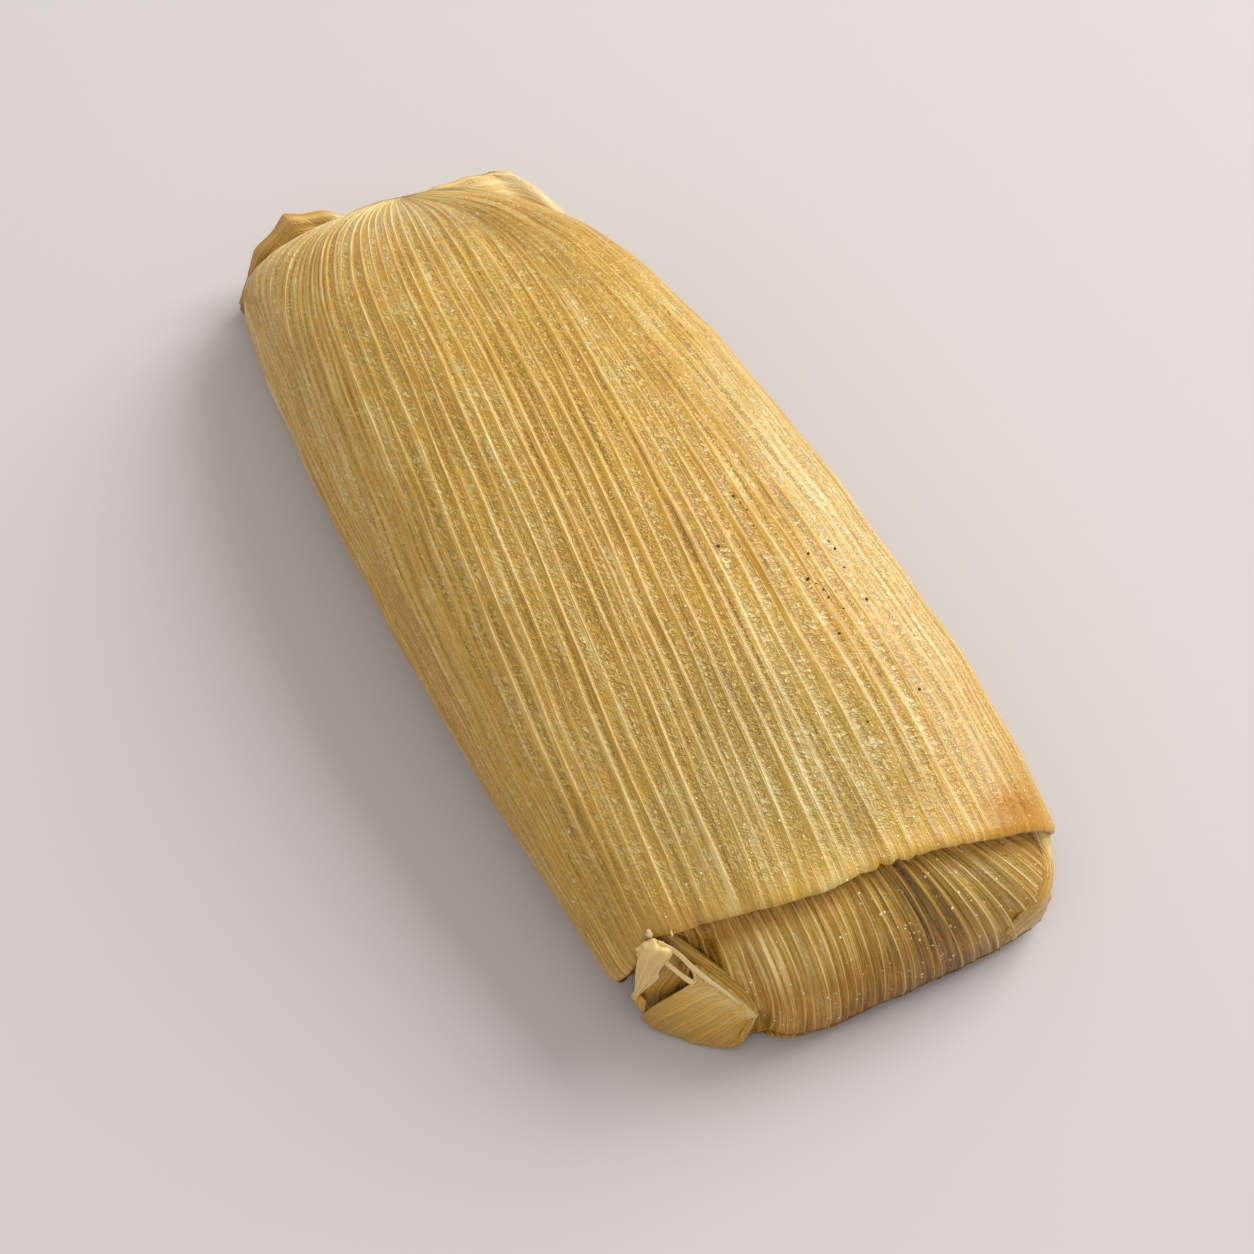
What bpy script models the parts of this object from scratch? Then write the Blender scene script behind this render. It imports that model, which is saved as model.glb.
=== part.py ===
"""A steamed corn husk tamale, lying on its underside.

The filled parcel is wrapped in an outer husk, whose veins gather to a pinch at the far end (+Y).
The near edge of the outer husk is a slanting lip, and the inner parcel shows below it as a folded
flap. A torn corner of husk curls up beside the flap, and a folded husk tip backs the pinch.
Metres, +Z up, with the origin at the middle of the footprint, on the surface it lies on.
"""

import bpy
import numpy as np

for leftover in list(bpy.data.objects):
    bpy.data.objects.remove(leftover)

MM = 0.001

# Stations along the length, and the wrapped parcel's outer reach from its long axis at each.
STATION = MM * np.array([-72.0, -50.0, -26.0, 3.0, 28.0, 47.0, 60.0, 69.0])
LEFT_REACH = MM * np.array([30.9, 31.1, 31.0, 29.7, 27.5, 24.4, 21.6, 19.5])
RIGHT_REACH = MM * np.array([24.4, 28.7, 30.9, 31.1, 30.1, 28.1, 24.2, 18.9])
CROWN = MM * np.array([20.0, 25.4, 29.2, 31.2, 30.0, 26.0, 20.8, 15.5])
CROWN_SQUARENESS = 2.5
BASE_SQUARENESS = 4.5
WIDEST_HEIGHT = 0.36
FLATTENING = 0.7 * MM

# Far end: the veins fan out from the pinch, and the end face below it is nearly flat.
PINCH_X = 3.8 * MM
PINCH_Y = 67.5 * MM
PINCH_Z = 15.3 * MM
PINCH_TURN = 0.452
FAN_LENGTH = 24 * MM
FACE_DEPTH = 9 * MM
FACE_SQUARENESS = 5.0
FAR_SLANT = 0.2
SLANT_START = 20 * MM

# Near end of the outer husk.
HUSK_WALL = 0.8 * MM
LIP_MIDDLE = -63.1 * MM
LIP_SLANT = 0.235
LIP_BOW = 0.0032 / MM
LIP_WAVE = 0.3 * MM
LIP_WAVES = 7
LEFT_SETBACK = 4.5 * MM
RIGHT_SETBACK = 4 * MM
SETBACK_HEIGHT = 16 * MM

# Near end of the inner parcel.
LAYER_GAP = 0.5 * MM
FLAP_END = -71.6 * MM
FLAP_DEPTH = 14 * MM
FLAP_SLANT = 0.09
FLAP_SQUARENESS = 2.4
FLAP_CORNER_SQUARENESS = 7.0
FLAP_TUCK_Z = 2.5 * MM
FLAP_BULGE = 0.07
BULGE_HEIGHTS = 6 * MM, 12 * MM
CUT_CORNER = MM * np.array([[-28.3, -53.0], [-20.3, -64.5]])
CUT_END_REACH = 21.8 * MM

# Curled corner: a flattened cornet standing along the cut near-left corner.
CURL_MOUTH = MM * np.array([-29.2, -55.6])
CURL_TIP = MM * np.array([-22.0, -66.2])
CURL_HEIGHTS = 17.6 * MM, 6.5 * MM
CURL_DEPTHS = 5.6 * MM, 3.4 * MM
CURL_LEAN = 1.9 * MM
CURL_WALL = 0.7 * MM
CURL_POCKET = 0.7
MOUTH_SLOPE = 0.22

# Folded tip behind the pinch, from the left ear to the right ear.
FOLD_STATION = MM * np.array([-19.5, -17, -13, -9, -3, 4, 12, 18, 21, 23.5, 25.5])
FOLD_HEIGHT = MM * np.array([3.0, 7.0, 12.0, 14.0, 12.5, 11.0, 13.0, 15.0, 14.5, 13.5, 11.0])
FOLD_DEPTH = MM * np.array([1.6, 3.2, 4.8, 5.2, 4.6, 4.0, 3.8, 3.6, 3.4, 2.8, 1.6])
FOLD_SETBACK = MM * np.array([1.9, 1.0, 0.3, 0.0, 0.0, 0.0, 0.0, 0.3, 1.2, 4.0, 8.0])
FOLD_GAP = 0.5 * MM
# Its section, as shares of the depth behind the far face and of the height.
FOLD_PROFILE = (0.7, 0), (0.9, 0.4), (1, 0.8), (0.9, 0.96), (0.55, 1), (0, 0.9), (0, 0.5), (0, 0)

# Middle of the whole footprint, which becomes the origin.
FOOTPRINT_MIDDLE = MM * np.array([0.065, 1.233, 0.0])

COLUMNS = 48
FAN_ROWS = 11
BODY_ROWS = 12
FLAP_ROWS = 10


def smooth_between(x, places, values):
    """Cubic Hermite curve through the values, with the slopes of their neighbours."""
    slopes = np.gradient(values, places)
    i = np.clip(np.searchsorted(places, x) - 1, 0, len(places) - 2)
    span = places[i + 1] - places[i]
    s = np.clip((x - places[i]) / span, 0.0, 1.0)
    rise = s * s * (3 - 2 * s)
    start = values[i] * (1 - rise) + s * (1 - s) ** 2 * span * slopes[i]
    return start + values[i + 1] * rise - s * s * (1 - s) * span * slopes[i + 1]


def ease(x, start, end):
    """0 before start, 1 after end, and smooth between."""
    s = np.clip((x - start) / (end - start), 0.0, 1.0)
    return s * s * (3 - 2 * s)


def section(angle, y, inset):
    """Cross-section at y: a superellipse, squarer below its widest height, cut flat at the bottom."""
    across, up = np.cos(angle), np.sin(angle)
    crown = smooth_between(y, STATION, CROWN)
    middle = WIDEST_HEIGHT * crown
    left = smooth_between(y, STATION, LEFT_REACH)
    right = smooth_between(y, STATION, RIGHT_REACH)
    power = 2 / np.where(up > 0, CROWN_SQUARENESS, BASE_SQUARENESS)
    x = np.sign(across) * (np.where(across > 0, right, left) - inset) * np.abs(across) ** power
    above = (crown - inset - middle) * np.abs(up) ** power
    below = -(middle + FLATTENING - inset) * np.abs(up) ** power
    return x, np.maximum(middle + np.where(up > 0, above, below), inset)


def angle_at(turn):
    """Section angle after this share of the girth, from the middle of the underside to the right."""
    angle = np.linspace(-0.5 * np.pi, 1.5 * np.pi, 2001)
    x, z = section(angle, np.zeros_like(angle), 0.0)
    run = np.concatenate([[0.0], np.cumsum(np.hypot(np.diff(x), np.diff(z)))])
    return np.interp(turn, run / run[-1], angle)


def slanted(x, y):
    """The far end leans: its left side reaches further than its right side."""
    return y - FAR_SLANT * x * ease(y, SLANT_START, PINCH_Y)


def wrapped(step, turn, inset, near_edge):
    """Points of the wrap, step 0 to 1 down the fan from the pinch and 1 to 2 on to the near edge.

    On the crown and flanks a vein is a superellipse arc from the pinch, drawn on the section
    surface. Below, the far face shrinks each section towards the pinch instead.
    """
    side = np.abs(turn - PINCH_TURN)
    arc = np.clip(step, 0, 1) * np.pi / 2
    down = np.clip(step - 1, 0, 1)
    start = PINCH_Y - inset

    power = 2 / np.minimum(1.55 + 8 * side, 3.2)
    spread, ahead = np.sin(arc) ** power, np.cos(arc) ** power
    y = start - FAN_LENGTH * (1 - ahead)
    y = y + down * (near_edge - y)
    x, z = section(angle_at(PINCH_TURN + spread * (turn - PINCH_TURN)), y, inset)
    crown = np.stack([x, slanted(x, y), z], axis=-1)

    power = 2 / FACE_SQUARENESS
    spread, ahead = np.sin(arc) ** power, np.cos(arc) ** power
    y = start - FACE_DEPTH * (1 - ahead)
    y = y + down * (near_edge - y)
    x, z = section(angle_at(turn), y, inset)
    x = PINCH_X + spread * (x - PINCH_X)
    z = np.maximum(PINCH_Z + spread * (z - PINCH_Z), inset)
    face = np.stack([x, slanted(x, y), z], axis=-1)

    share = ease(side, 0.27, 0.34)[..., None]
    return crown * (1 - share) + face * share


def lip_edge(turn):
    """Near edge of the outer husk: a slanting, bowed, slightly waved lip, set back down both flanks."""
    x, z = section(angle_at(turn), np.full_like(turn, LIP_MIDDLE), 0.0)
    lip = LIP_MIDDLE - LIP_SLANT * x + LIP_BOW * x ** 2
    lip = lip + LIP_WAVE * np.sin(2 * np.pi * LIP_WAVES * turn)
    setback = np.where(x < 0, LEFT_SETBACK, RIGHT_SETBACK) * ease(-z, -SETBACK_HEIGHT, 0.0)
    return lip + setback * ease(np.abs(x), 15 * MM, 28 * MM)


def tucked(rows, turn, inset):
    """Near end of the inner parcel: its last section, shrunk towards a point low on the end face."""
    arc = np.linspace(0, np.pi / 2, rows + 1)[1:, None]
    power = 2 / FLAP_SQUARENESS
    drop, ahead = np.cos(arc) ** power, np.sin(arc) ** power
    narrow = np.cos(arc) ** (2 / FLAP_CORNER_SQUARENESS)
    start = FLAP_END + FLAP_DEPTH
    x, z = section(angle_at(turn), start + (FLAP_END - start) * ahead, inset)
    z = FLAP_TUCK_Z + (z - FLAP_TUCK_Z) * drop
    bulge = FLAP_BULGE * ahead ** 6 * (1 - ease(z, *BULGE_HEIGHTS))
    x = x * narrow * (1 + bulge * (x > 0))
    y = start + (FLAP_END - start) * ahead - FLAP_SLANT * x * ahead
    return np.stack([x, y, z], axis=-1)


def corner_cut(points):
    """Narrows the left side beyond the line that cuts the near-left corner, where the curl stands."""
    (x0, y0), (x1, y1) = CUT_CORNER
    reach = smooth_between(points[..., 1], STATION, LEFT_REACH)
    line = np.maximum(-x0 - (points[..., 1] - y0) * (x1 - x0) / (y1 - y0), CUT_END_REACH)
    narrow = np.where(points[..., 0] < 0, np.minimum(line / reach, 1.0), 1.0)
    return points * np.stack([narrow, np.ones_like(narrow), np.ones_like(narrow)], axis=-1)


def tube_faces(rows, columns, first, outwards):
    """Quads of a grid of closed rings, one ring of points per row, starting at point first."""
    ring = np.arange(columns)
    following = np.roll(ring, -1)
    faces = []
    for row in range(rows - 1):
        here, there = first + row * columns, first + (row + 1) * columns
        for a, b in zip(ring, following):
            quad = [here + a, here + b, there + b, there + a]
            faces.append(quad if outwards else quad[::-1])
    return faces


def cap_faces(columns, first, pole, outwards):
    """Triangles from a ring of points to one pole."""
    ring = first + np.arange(columns)
    faces = []
    for a, b in zip(ring, np.roll(ring, -1)):
        faces.append([pole, b, a] if outwards else [pole, a, b])
    return faces


def husk_material(name, colour, roughness):
    material = bpy.data.materials.new(name)
    material.use_nodes = True
    shader = material.node_tree.nodes["Principled BSDF"]
    shader.inputs["Base Color"].default_value = (*colour, 1.0)
    shader.inputs["Roughness"].default_value = roughness
    shader.inputs["Metallic"].default_value = 0.0
    return material


def add_object(name, points, faces, material):
    mesh = bpy.data.meshes.new(name)
    points = (np.asarray(points) - FOOTPRINT_MIDDLE).tolist()
    mesh.from_pydata(points, [], [[int(i) for i in face] for face in faces])
    mesh.materials.append(material)
    mesh.shade_smooth()
    mesh.set_sharp_from_angle(angle=0.7)
    mesh.update()
    bpy.context.scene.collection.objects.link(bpy.data.objects.new(name, mesh))


def fan_steps():
    return np.linspace(0, 1, FAN_ROWS + 1)[1:, None]


def body_steps():
    return 1 + np.linspace(0, 1, BODY_ROWS + 1)[1:, None]


def build_outer_husk():
    """A shell, closed round the pinch and open at the lip."""
    turn = np.linspace(0, 1, COLUMNS, endpoint=False)[None, :]
    steps = np.vstack([fan_steps(), body_steps()])
    edge = lip_edge(turn)
    layers = [wrapped(steps, turn, inset, edge) for inset in (0.0, HUSK_WALL)]
    rows = len(steps)
    points = [layer.reshape(-1, 3) for layer in layers]
    outer_pole = [PINCH_X, PINCH_Y - FAR_SLANT * PINCH_X, PINCH_Z]
    inner_pole = [PINCH_X, PINCH_Y - HUSK_WALL - FAR_SLANT * PINCH_X, PINCH_Z - HUSK_WALL]
    points = np.vstack([*points, [outer_pole], [inner_pole]])
    inner = rows * COLUMNS
    faces = tube_faces(rows, COLUMNS, 0, True)
    faces += tube_faces(rows, COLUMNS, inner, False)
    faces += cap_faces(COLUMNS, 0, 2 * inner, True)
    faces += cap_faces(COLUMNS, inner, 2 * inner + 1, False)
    rim = (rows - 1) * COLUMNS + np.arange(COLUMNS)
    for a, b in zip(rim, np.roll(rim, -1)):
        faces.append([a, b, inner + b, inner + a])
    add_object("outer_husk", points, faces, husk_material("steamed_husk", (0.62, 0.41, 0.12), 0.45))


def build_inner_parcel():
    """The inner husk with its filling, one solid along the whole tamale."""
    inset = HUSK_WALL + LAYER_GAP
    turn = np.linspace(0, 1, COLUMNS, endpoint=False)[None, :]
    edge = np.full_like(turn, FLAP_END + FLAP_DEPTH)
    body = wrapped(np.vstack([fan_steps(), body_steps()]), turn, inset, edge)
    end = tucked(FLAP_ROWS, turn, inset)[:-1]
    rings = corner_cut(np.vstack([body, end]))
    rows = len(rings)
    far_pole = [PINCH_X, PINCH_Y - inset - FAR_SLANT * PINCH_X, PINCH_Z - inset]
    near_pole = [0.0, FLAP_END, FLAP_TUCK_Z]
    points = np.vstack([rings.reshape(-1, 3), [far_pole], [near_pole]])
    poles = rows * COLUMNS
    faces = tube_faces(rows, COLUMNS, 0, True)
    faces += cap_faces(COLUMNS, 0, poles, True)
    faces += cap_faces(COLUMNS, (rows - 1) * COLUMNS, poles + 1, False)
    add_object("inner_parcel", points, faces, husk_material("wet_husk", (0.42, 0.26, 0.06), 0.4))


def build_corner_curl():
    """A cornet of husk, open at its tall mouth and pinched shut at its low tip."""
    along = np.linspace(0, 1, 10)[:, None]
    around = np.linspace(2 * np.pi, 0, 24, endpoint=False)[None, :]
    run = CURL_TIP - CURL_MOUTH
    outwards = np.array([run[1], -run[0]]) / np.hypot(*run)

    def loops(share, inset):
        height = CURL_HEIGHTS[0] + (CURL_HEIGHTS[1] - CURL_HEIGHTS[0]) * share ** 0.8
        depth = CURL_DEPTHS[0] + (CURL_DEPTHS[1] - CURL_DEPTHS[0]) * share
        up = 0.5 * (1 + np.sin(around))
        out = (0.5 * depth - inset) * np.cos(around) * (1 - 0.45 * up ** 2)
        z = inset + up * (height - 2 * inset)
        offset = out - CURL_LEAN * up ** 1.5
        share = share + MOUTH_SLOPE * (1 - share) * np.maximum(np.cos(around), 0.0)
        x = CURL_MOUTH[0] + run[0] * share + outwards[0] * offset
        y = CURL_MOUTH[1] + run[1] * share + outwards[1] * offset
        return np.stack(np.broadcast_arrays(x, y, z), axis=-1)

    outer = loops(along, 0.0)
    inner = loops(along * CURL_POCKET, CURL_WALL)
    rows, columns = outer.shape[:2]
    count = rows * columns
    ends = [outer[-1].mean(axis=0), inner[-1].mean(axis=0)]
    points = np.vstack([outer.reshape(-1, 3), inner.reshape(-1, 3), ends])
    faces = tube_faces(rows, columns, 0, True)
    faces += tube_faces(rows, columns, count, False)
    faces += cap_faces(columns, (rows - 1) * columns, 2 * count, False)
    faces += cap_faces(columns, count + (rows - 1) * columns, 2 * count + 1, True)
    for a, b in zip(np.arange(columns), np.roll(np.arange(columns), -1)):
        faces.append([b, a, count + a, count + b])
    add_object("corner_curl", points, faces, husk_material("pale_husk", (0.66, 0.48, 0.2), 0.45))


def build_end_fold():
    """The folded husk tip: a wedge across the far face with an ear at each side."""
    x = np.linspace(FOLD_STATION[0], FOLD_STATION[-1], 41)
    height = smooth_between(x, FOLD_STATION, FOLD_HEIGHT)
    depth = smooth_between(x, FOLD_STATION, FOLD_DEPTH)
    setback = smooth_between(x, FOLD_STATION, FOLD_SETBACK)
    front = PINCH_Y + FOLD_GAP - FAR_SLANT * x - setback
    rings = np.stack(
        [np.stack([x, front + back * depth, up * height], axis=-1) for back, up in FOLD_PROFILE],
        axis=1,
    )
    rows, columns = rings.shape[:2]
    points = np.vstack([rings.reshape(-1, 3), rings[0].mean(axis=0), rings[-1].mean(axis=0)])
    count = rows * columns
    faces = tube_faces(rows, columns, 0, True)
    faces += cap_faces(columns, 0, count, True)
    faces += cap_faces(columns, (rows - 1) * columns, count + 1, False)
    add_object("end_fold", points, faces, husk_material("folded_husk", (0.6, 0.38, 0.08), 0.4))


build_outer_husk()
build_inner_parcel()
build_corner_curl()
build_end_fold()
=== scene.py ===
import bpy
import numpy as np
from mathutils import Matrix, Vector


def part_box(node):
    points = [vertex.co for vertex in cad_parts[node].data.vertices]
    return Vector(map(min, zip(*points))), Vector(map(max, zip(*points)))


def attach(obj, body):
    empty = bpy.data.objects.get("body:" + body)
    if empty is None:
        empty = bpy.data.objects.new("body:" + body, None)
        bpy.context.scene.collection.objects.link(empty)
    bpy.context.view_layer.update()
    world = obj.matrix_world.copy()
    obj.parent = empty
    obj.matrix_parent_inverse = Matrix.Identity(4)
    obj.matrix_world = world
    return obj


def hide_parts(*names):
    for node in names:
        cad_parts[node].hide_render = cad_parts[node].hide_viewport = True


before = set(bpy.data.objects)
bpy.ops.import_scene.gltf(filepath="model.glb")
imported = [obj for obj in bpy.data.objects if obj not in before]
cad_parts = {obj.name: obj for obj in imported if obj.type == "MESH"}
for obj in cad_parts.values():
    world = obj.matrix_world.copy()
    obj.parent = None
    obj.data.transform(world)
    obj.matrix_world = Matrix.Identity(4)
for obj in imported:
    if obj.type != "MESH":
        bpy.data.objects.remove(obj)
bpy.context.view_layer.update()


# ------------------------------------------------------------
# Outer husk. One steamed corn husk wrapped round the parcel: its veins run from a gather at the far
# end to a slanting open lip at the near end. It is a wet, fibrous leaf under a millimetre thick, held
# only by its own wrap. All lengths below are millimetres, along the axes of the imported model.

MM = 0.001
# At stations from the lip to the far end: its reach to each side, and the height of its crown.
STATION = np.array([-72.0, -50.0, -26.0, 3.0, 28.0, 47.0, 60.0, 69.0])
LEFT_REACH = np.array([30.9, 31.1, 31.1, 29.9, 27.7, 24.5, 21.6, 19.5])
RIGHT_REACH = np.array([26.2, 29.8, 31.0, 31.1, 30.1, 28.3, 24.9, 19.1])
CROWN = np.array([20.0, 25.4, 29.2, 31.2, 30.0, 26.0, 20.8, 15.5])
# The section is widest at this share of the crown's height, and squarer below that than above it.
WIDEST_HEIGHT = 0.36
CROWN_SQUARENESS, BASE_SQUARENESS = 2.5, 4.5
FLATTENING = 0.7
GIRTH = 155.8

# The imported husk's left side and far end, on the axes that the lengths here are measured along.
HUSK_LEFT = -31.125
HUSK_FAR = 69.85
husk_low, husk_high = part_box("outer_husk")
PLACE = np.array([husk_low[0] / MM - HUSK_LEFT, husk_high[1] / MM - HUSK_FAR, 0.0])


def smooth_between(x, places, values):
    """Cubic Hermite curve through the values, with the slopes of their neighbours."""
    slopes = np.gradient(values, places)
    i = np.clip(np.searchsorted(places, x) - 1, 0, len(places) - 2)
    span = places[i + 1] - places[i]
    s = np.clip((x - places[i]) / span, 0.0, 1.0)
    rise = s * s * (3 - 2 * s)
    start = values[i] * (1 - rise) + s * (1 - s) ** 2 * span * slopes[i]
    return start + values[i + 1] * rise - s * s * (1 - s) * span * slopes[i + 1]


def ease(x, start, end):
    """0 before start, 1 after end, and the cubic 3s^2 - 2s^3 between."""
    s = np.clip((x - start) / (end - start), 0.0, 1.0)
    return s * s * (3 - 2 * s)


def section(angle, y, inset):
    """Cross-section at y: x = reach * cos^(2/n), z = middle + rise * sin^(2/n), cut flat at the bottom."""
    across, up = np.cos(angle), np.sin(angle)
    crown = smooth_between(y, STATION, CROWN)
    middle = WIDEST_HEIGHT * crown
    left = smooth_between(y, STATION, LEFT_REACH)
    right = smooth_between(y, STATION, RIGHT_REACH)
    power = 2 / np.where(up > 0, CROWN_SQUARENESS, BASE_SQUARENESS)
    x = np.sign(across) * (np.where(across > 0, right, left) - inset) * np.abs(across) ** power
    above = (crown - inset - middle) * np.abs(up) ** power
    below = -(middle + FLATTENING - inset) * np.abs(up) ** power
    return x, np.maximum(middle + np.where(up > 0, above, below), inset)


def angle_at(turn):
    """Section angle after this share of the girth, counted from the underside's middle to the right."""
    angle = np.linspace(-0.5 * np.pi, 1.5 * np.pi, 4001)
    x, z = section(angle, np.zeros_like(angle), 0.0)
    run = np.concatenate([[0.0], np.cumsum(np.hypot(np.diff(x), np.diff(z)))])
    return np.interp(turn, run / run[-1], angle)


# Far end: the veins fan out from the gather, and the end face below it is nearly flat.
GATHER_X, GATHER_Y, GATHER_Z = 3.8, 67.5, 15.3
GATHER_TURN = 0.452
RIGHT_FAN_LENGTH, LEFT_FAN_LENGTH = 14.0, 30.0
UNDER_FAN_LENGTH = 10.0
FACE_DEPTH = 9.0
FACE_SQUARENESS = 5.0
FAR_SLANT = 0.2
SLANT_START = 20.0
VEIN_LEAN = 0.00105
# The fan's arcs grow squarer from the gather's own squareness, faster on the right, up to a most.
FAN_SQUARENESS, LEFT_SQUARING, RIGHT_SQUARING, MOST_SQUARENESS = 1.55, 4.4, 16.0, 3.4


def slanted(x, y):
    """The far end leans: its left side reaches further than its right side."""
    return y - FAR_SLANT * x * ease(y, SLANT_START, GATHER_Y)


def leaning(vein, y):
    """Share of the girth where a vein lies at y: the veins on the crown lean left towards the lip."""
    return vein - VEIN_LEAN * ease(vein, 0.36, 0.5) * (1 - ease(vein, 0.8, 0.9)) * y


def wrapped(step, vein, inset, near_edge):
    """Point of the wrap: step 0 to 1 goes down the fan from the gather, 1 to 2 on to the near edge.

    On the crown a vein is a superellipse arc from the gather, drawn on the section surface, and then
    follows its lean. Low on the far end, the face shrinks each section towards the gather instead.
    """
    side = np.abs(vein - GATHER_TURN)
    arc = np.clip(step, 0, 1) * np.pi / 2
    down = np.clip(step - 1, 0, 1)
    start = GATHER_Y - inset

    squaring = np.where(vein > GATHER_TURN, LEFT_SQUARING, RIGHT_SQUARING)
    power = 2 / np.minimum(FAN_SQUARENESS + squaring * side, MOST_SQUARENESS)
    right_length = LEFT_FAN_LENGTH + (RIGHT_FAN_LENGTH - LEFT_FAN_LENGTH) * ease(side, 0.03, 0.1)
    length = np.where(vein > GATHER_TURN, LEFT_FAN_LENGTH, right_length)
    length = length + (UNDER_FAN_LENGTH - length) * ease(side, 0.26, 0.36)
    spread, ahead = np.sin(arc) ** power, np.cos(arc) ** power
    y = start - length * (1 - ahead)
    y = y + down * (near_edge - y)
    turn = GATHER_TURN + spread * (leaning(vein, y) - GATHER_TURN)
    x, z = section(angle_at(turn), y, inset)
    crown = np.stack([x, slanted(x, y), z], axis=-1)

    power = 2 / FACE_SQUARENESS
    spread, ahead = np.sin(arc) ** power, np.cos(arc) ** power
    y = start - FACE_DEPTH * (1 - ahead)
    y = y + down * (near_edge - y)
    x, z = section(angle_at(leaning(vein, y)), y, inset)
    x = GATHER_X + spread * (x - GATHER_X)
    z = np.maximum(GATHER_Z + spread * (z - GATHER_Z), inset)
    face = np.stack([x, slanted(x, y), z], axis=-1)

    share = ease(side, 0.27, 0.34)[..., None]
    return crown * (1 - share) + face * share


def ripple(place, waves, seed):
    """A repeatable random wave, about -1 to 1: a sum of sines of the given wavelengths."""
    phases = np.random.default_rng(seed).uniform(0, 2 * np.pi, len(waves))
    total = sum(np.sin(2 * np.pi * place / wave + phase) for wave, phase in zip(waves, phases))
    return total / np.sqrt(len(waves))


# The lip's line on the crown, as (x, y), and how far it runs back down each flank below a height.
LIP_LINE = np.array([[-31.5, -54.6], [-29.6, -55.4], [-28.5, -54.9], [-27.2, -55.1], [-24.6, -56.6],
                     [-18.8, -58.8], [-12.5, -61.0], [-7.7, -62.1], [-1.3, -62.8], [3.4, -63.6],
                     [7.8, -64.2], [13.4, -65.4], [18.3, -66.3], [22.5, -66.8], [26.0, -66.8]])
LEFT_SETBACK, LEFT_SETBACK_HEIGHT = 3.8, 12.0
RIGHT_SETBACK, RIGHT_SETBACK_HEIGHT = 4.6, 15.0
# Small tears in the lip: where each is across, how deep and how wide.
LIP_TEARS = [(-1.6, 0.22, 0.5), (1.1, 0.5, 0.4), (3.4, 0.4, 0.5), (5.9, 0.28, 0.35), (12.4, 0.2, 0.5)]


def lip_edge(vein):
    """Near edge of the husk: the lip's line across x, run back low on both flanks, with fine tears."""
    y = np.full_like(vein, -62.0)
    for _ in range(3):
        x, z = section(angle_at(leaning(vein, y)), np.full_like(vein, -62.0), 0.0)
        setback = np.where(x < 0, LEFT_SETBACK, RIGHT_SETBACK)
        height = np.where(x < 0, LEFT_SETBACK_HEIGHT, RIGHT_SETBACK_HEIGHT)
        y = smooth_between(x, LIP_LINE[:, 0], LIP_LINE[:, 1])
        y = y + setback * ease((height - z) / height, 0.0, 1.0) * ease(np.abs(x), 12.0, 26.0)
    for place, depth, width in LIP_TEARS:
        y = y + depth * np.exp(-(((x - place) / width) ** 2)) * (z > 10)
    return y + 0.08 * ripple(x, [23.0, 11.0, 6.1], 3) + 0.03 * ripple(x, [3.3, 2.1, 1.3], 4)


def vein_places(seed, spacing_at):
    """Vein centres round the girth: each stands one local spacing, give or take a quarter, from the last."""
    random = np.random.default_rng(seed)
    places = [0.0]
    while places[-1] < GIRTH:
        places.append(places[-1] + spacing_at(places[-1]) * random.uniform(0.72, 1.25))
    return np.array(places) * GIRTH / places[-1]


def ribs(across, along, places, lit_width, shaded_width, seed):
    """Uneven ribs along wavering lines: height * exp(-(distance / width)^2), steeper on the right side.

    Also gives each rib's smooth band, exp(-(distance / band width)^4), where the skin has no wrinkles,
    and a running count: a whole number on each crest, and in proportion between two crests.
    """
    random = np.random.default_rng(seed)
    nearest = np.searchsorted((places[1:] + places[:-1]) / 2, across)
    height = random.uniform(0.4, 1.0, len(places))[nearest]
    phase = random.uniform(0, 2 * np.pi, (3, len(places)))[:, nearest]
    waver = 0.13 * np.sin(along / 9 + phase[0]) + 0.07 * np.sin(along / 3.7 + phase[1])
    distance = across - places[nearest] - waver
    height = height * (0.8 + 0.2 * np.sin(along / 13 + phase[2]))
    width = np.where(distance < 0, lit_width, shaded_width)
    band = np.exp(-(((distance - 0.45 * shaded_width) / (1.15 * shaded_width)) ** 4))
    gaps = np.diff(places, prepend=places[0] - 1, append=places[-1] + 1)
    gap = np.where(distance > 0, gaps[nearest + 1], gaps[nearest])
    count = nearest + np.clip(distance / gap, -0.5, 0.5)
    return height * np.exp(-((distance / width) ** 2)), (0.35 + 0.65 * height) * band, count


def run_down(grid):
    """Length run along each column of a grid of points, from its first row."""
    steps = np.linalg.norm(np.diff(grid, axis=0), axis=-1)
    return np.vstack([np.zeros(grid.shape[1]), np.cumsum(steps, axis=0)])


def unit(vectors):
    """Vectors divided by their lengths."""
    return vectors / np.maximum(np.linalg.norm(vectors, axis=-1, keepdims=True), 1e-9)


def outwards(points):
    """Unit normals of a grid of points that closes on itself across its columns."""
    round_about = np.roll(points, -1, axis=1) - np.roll(points, 1, axis=1)
    return unit(np.cross(round_about, np.gradient(points, axis=0)))


def raised(points, normals, height):
    """Points moved along their normals by the given heights."""
    return points + normals * height[..., None]


def linear(hex_colour):
    """sRGB hex to linear RGBA."""
    srgb = np.array([int(hex_colour[i:i + 2], 16) / 255 for i in (1, 3, 5)])
    rgb = np.where(srgb <= 0.04045, srgb / 12.92, ((srgb + 0.055) / 1.055) ** 2.4)
    return (*rgb.tolist(), 1.0)


def add_node(material, kind, links={}, **settings):
    """Adds one shader node. A setting names a property or a socket (i2 is input 2); links go by input."""
    node = material.node_tree.nodes.new("ShaderNode" + kind)
    for name, value in settings.items():
        if hasattr(node, name):
            setattr(node, name, value)
    for name, value in settings.items():
        if not hasattr(node, name):
            key = int(name[1:]) if name[1:].isdigit() else name.replace("_", " ")
            node.inputs[key].default_value = value
    for target, source in links.items():
        material.node_tree.links.new(source, node.inputs[target])
    return node


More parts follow.
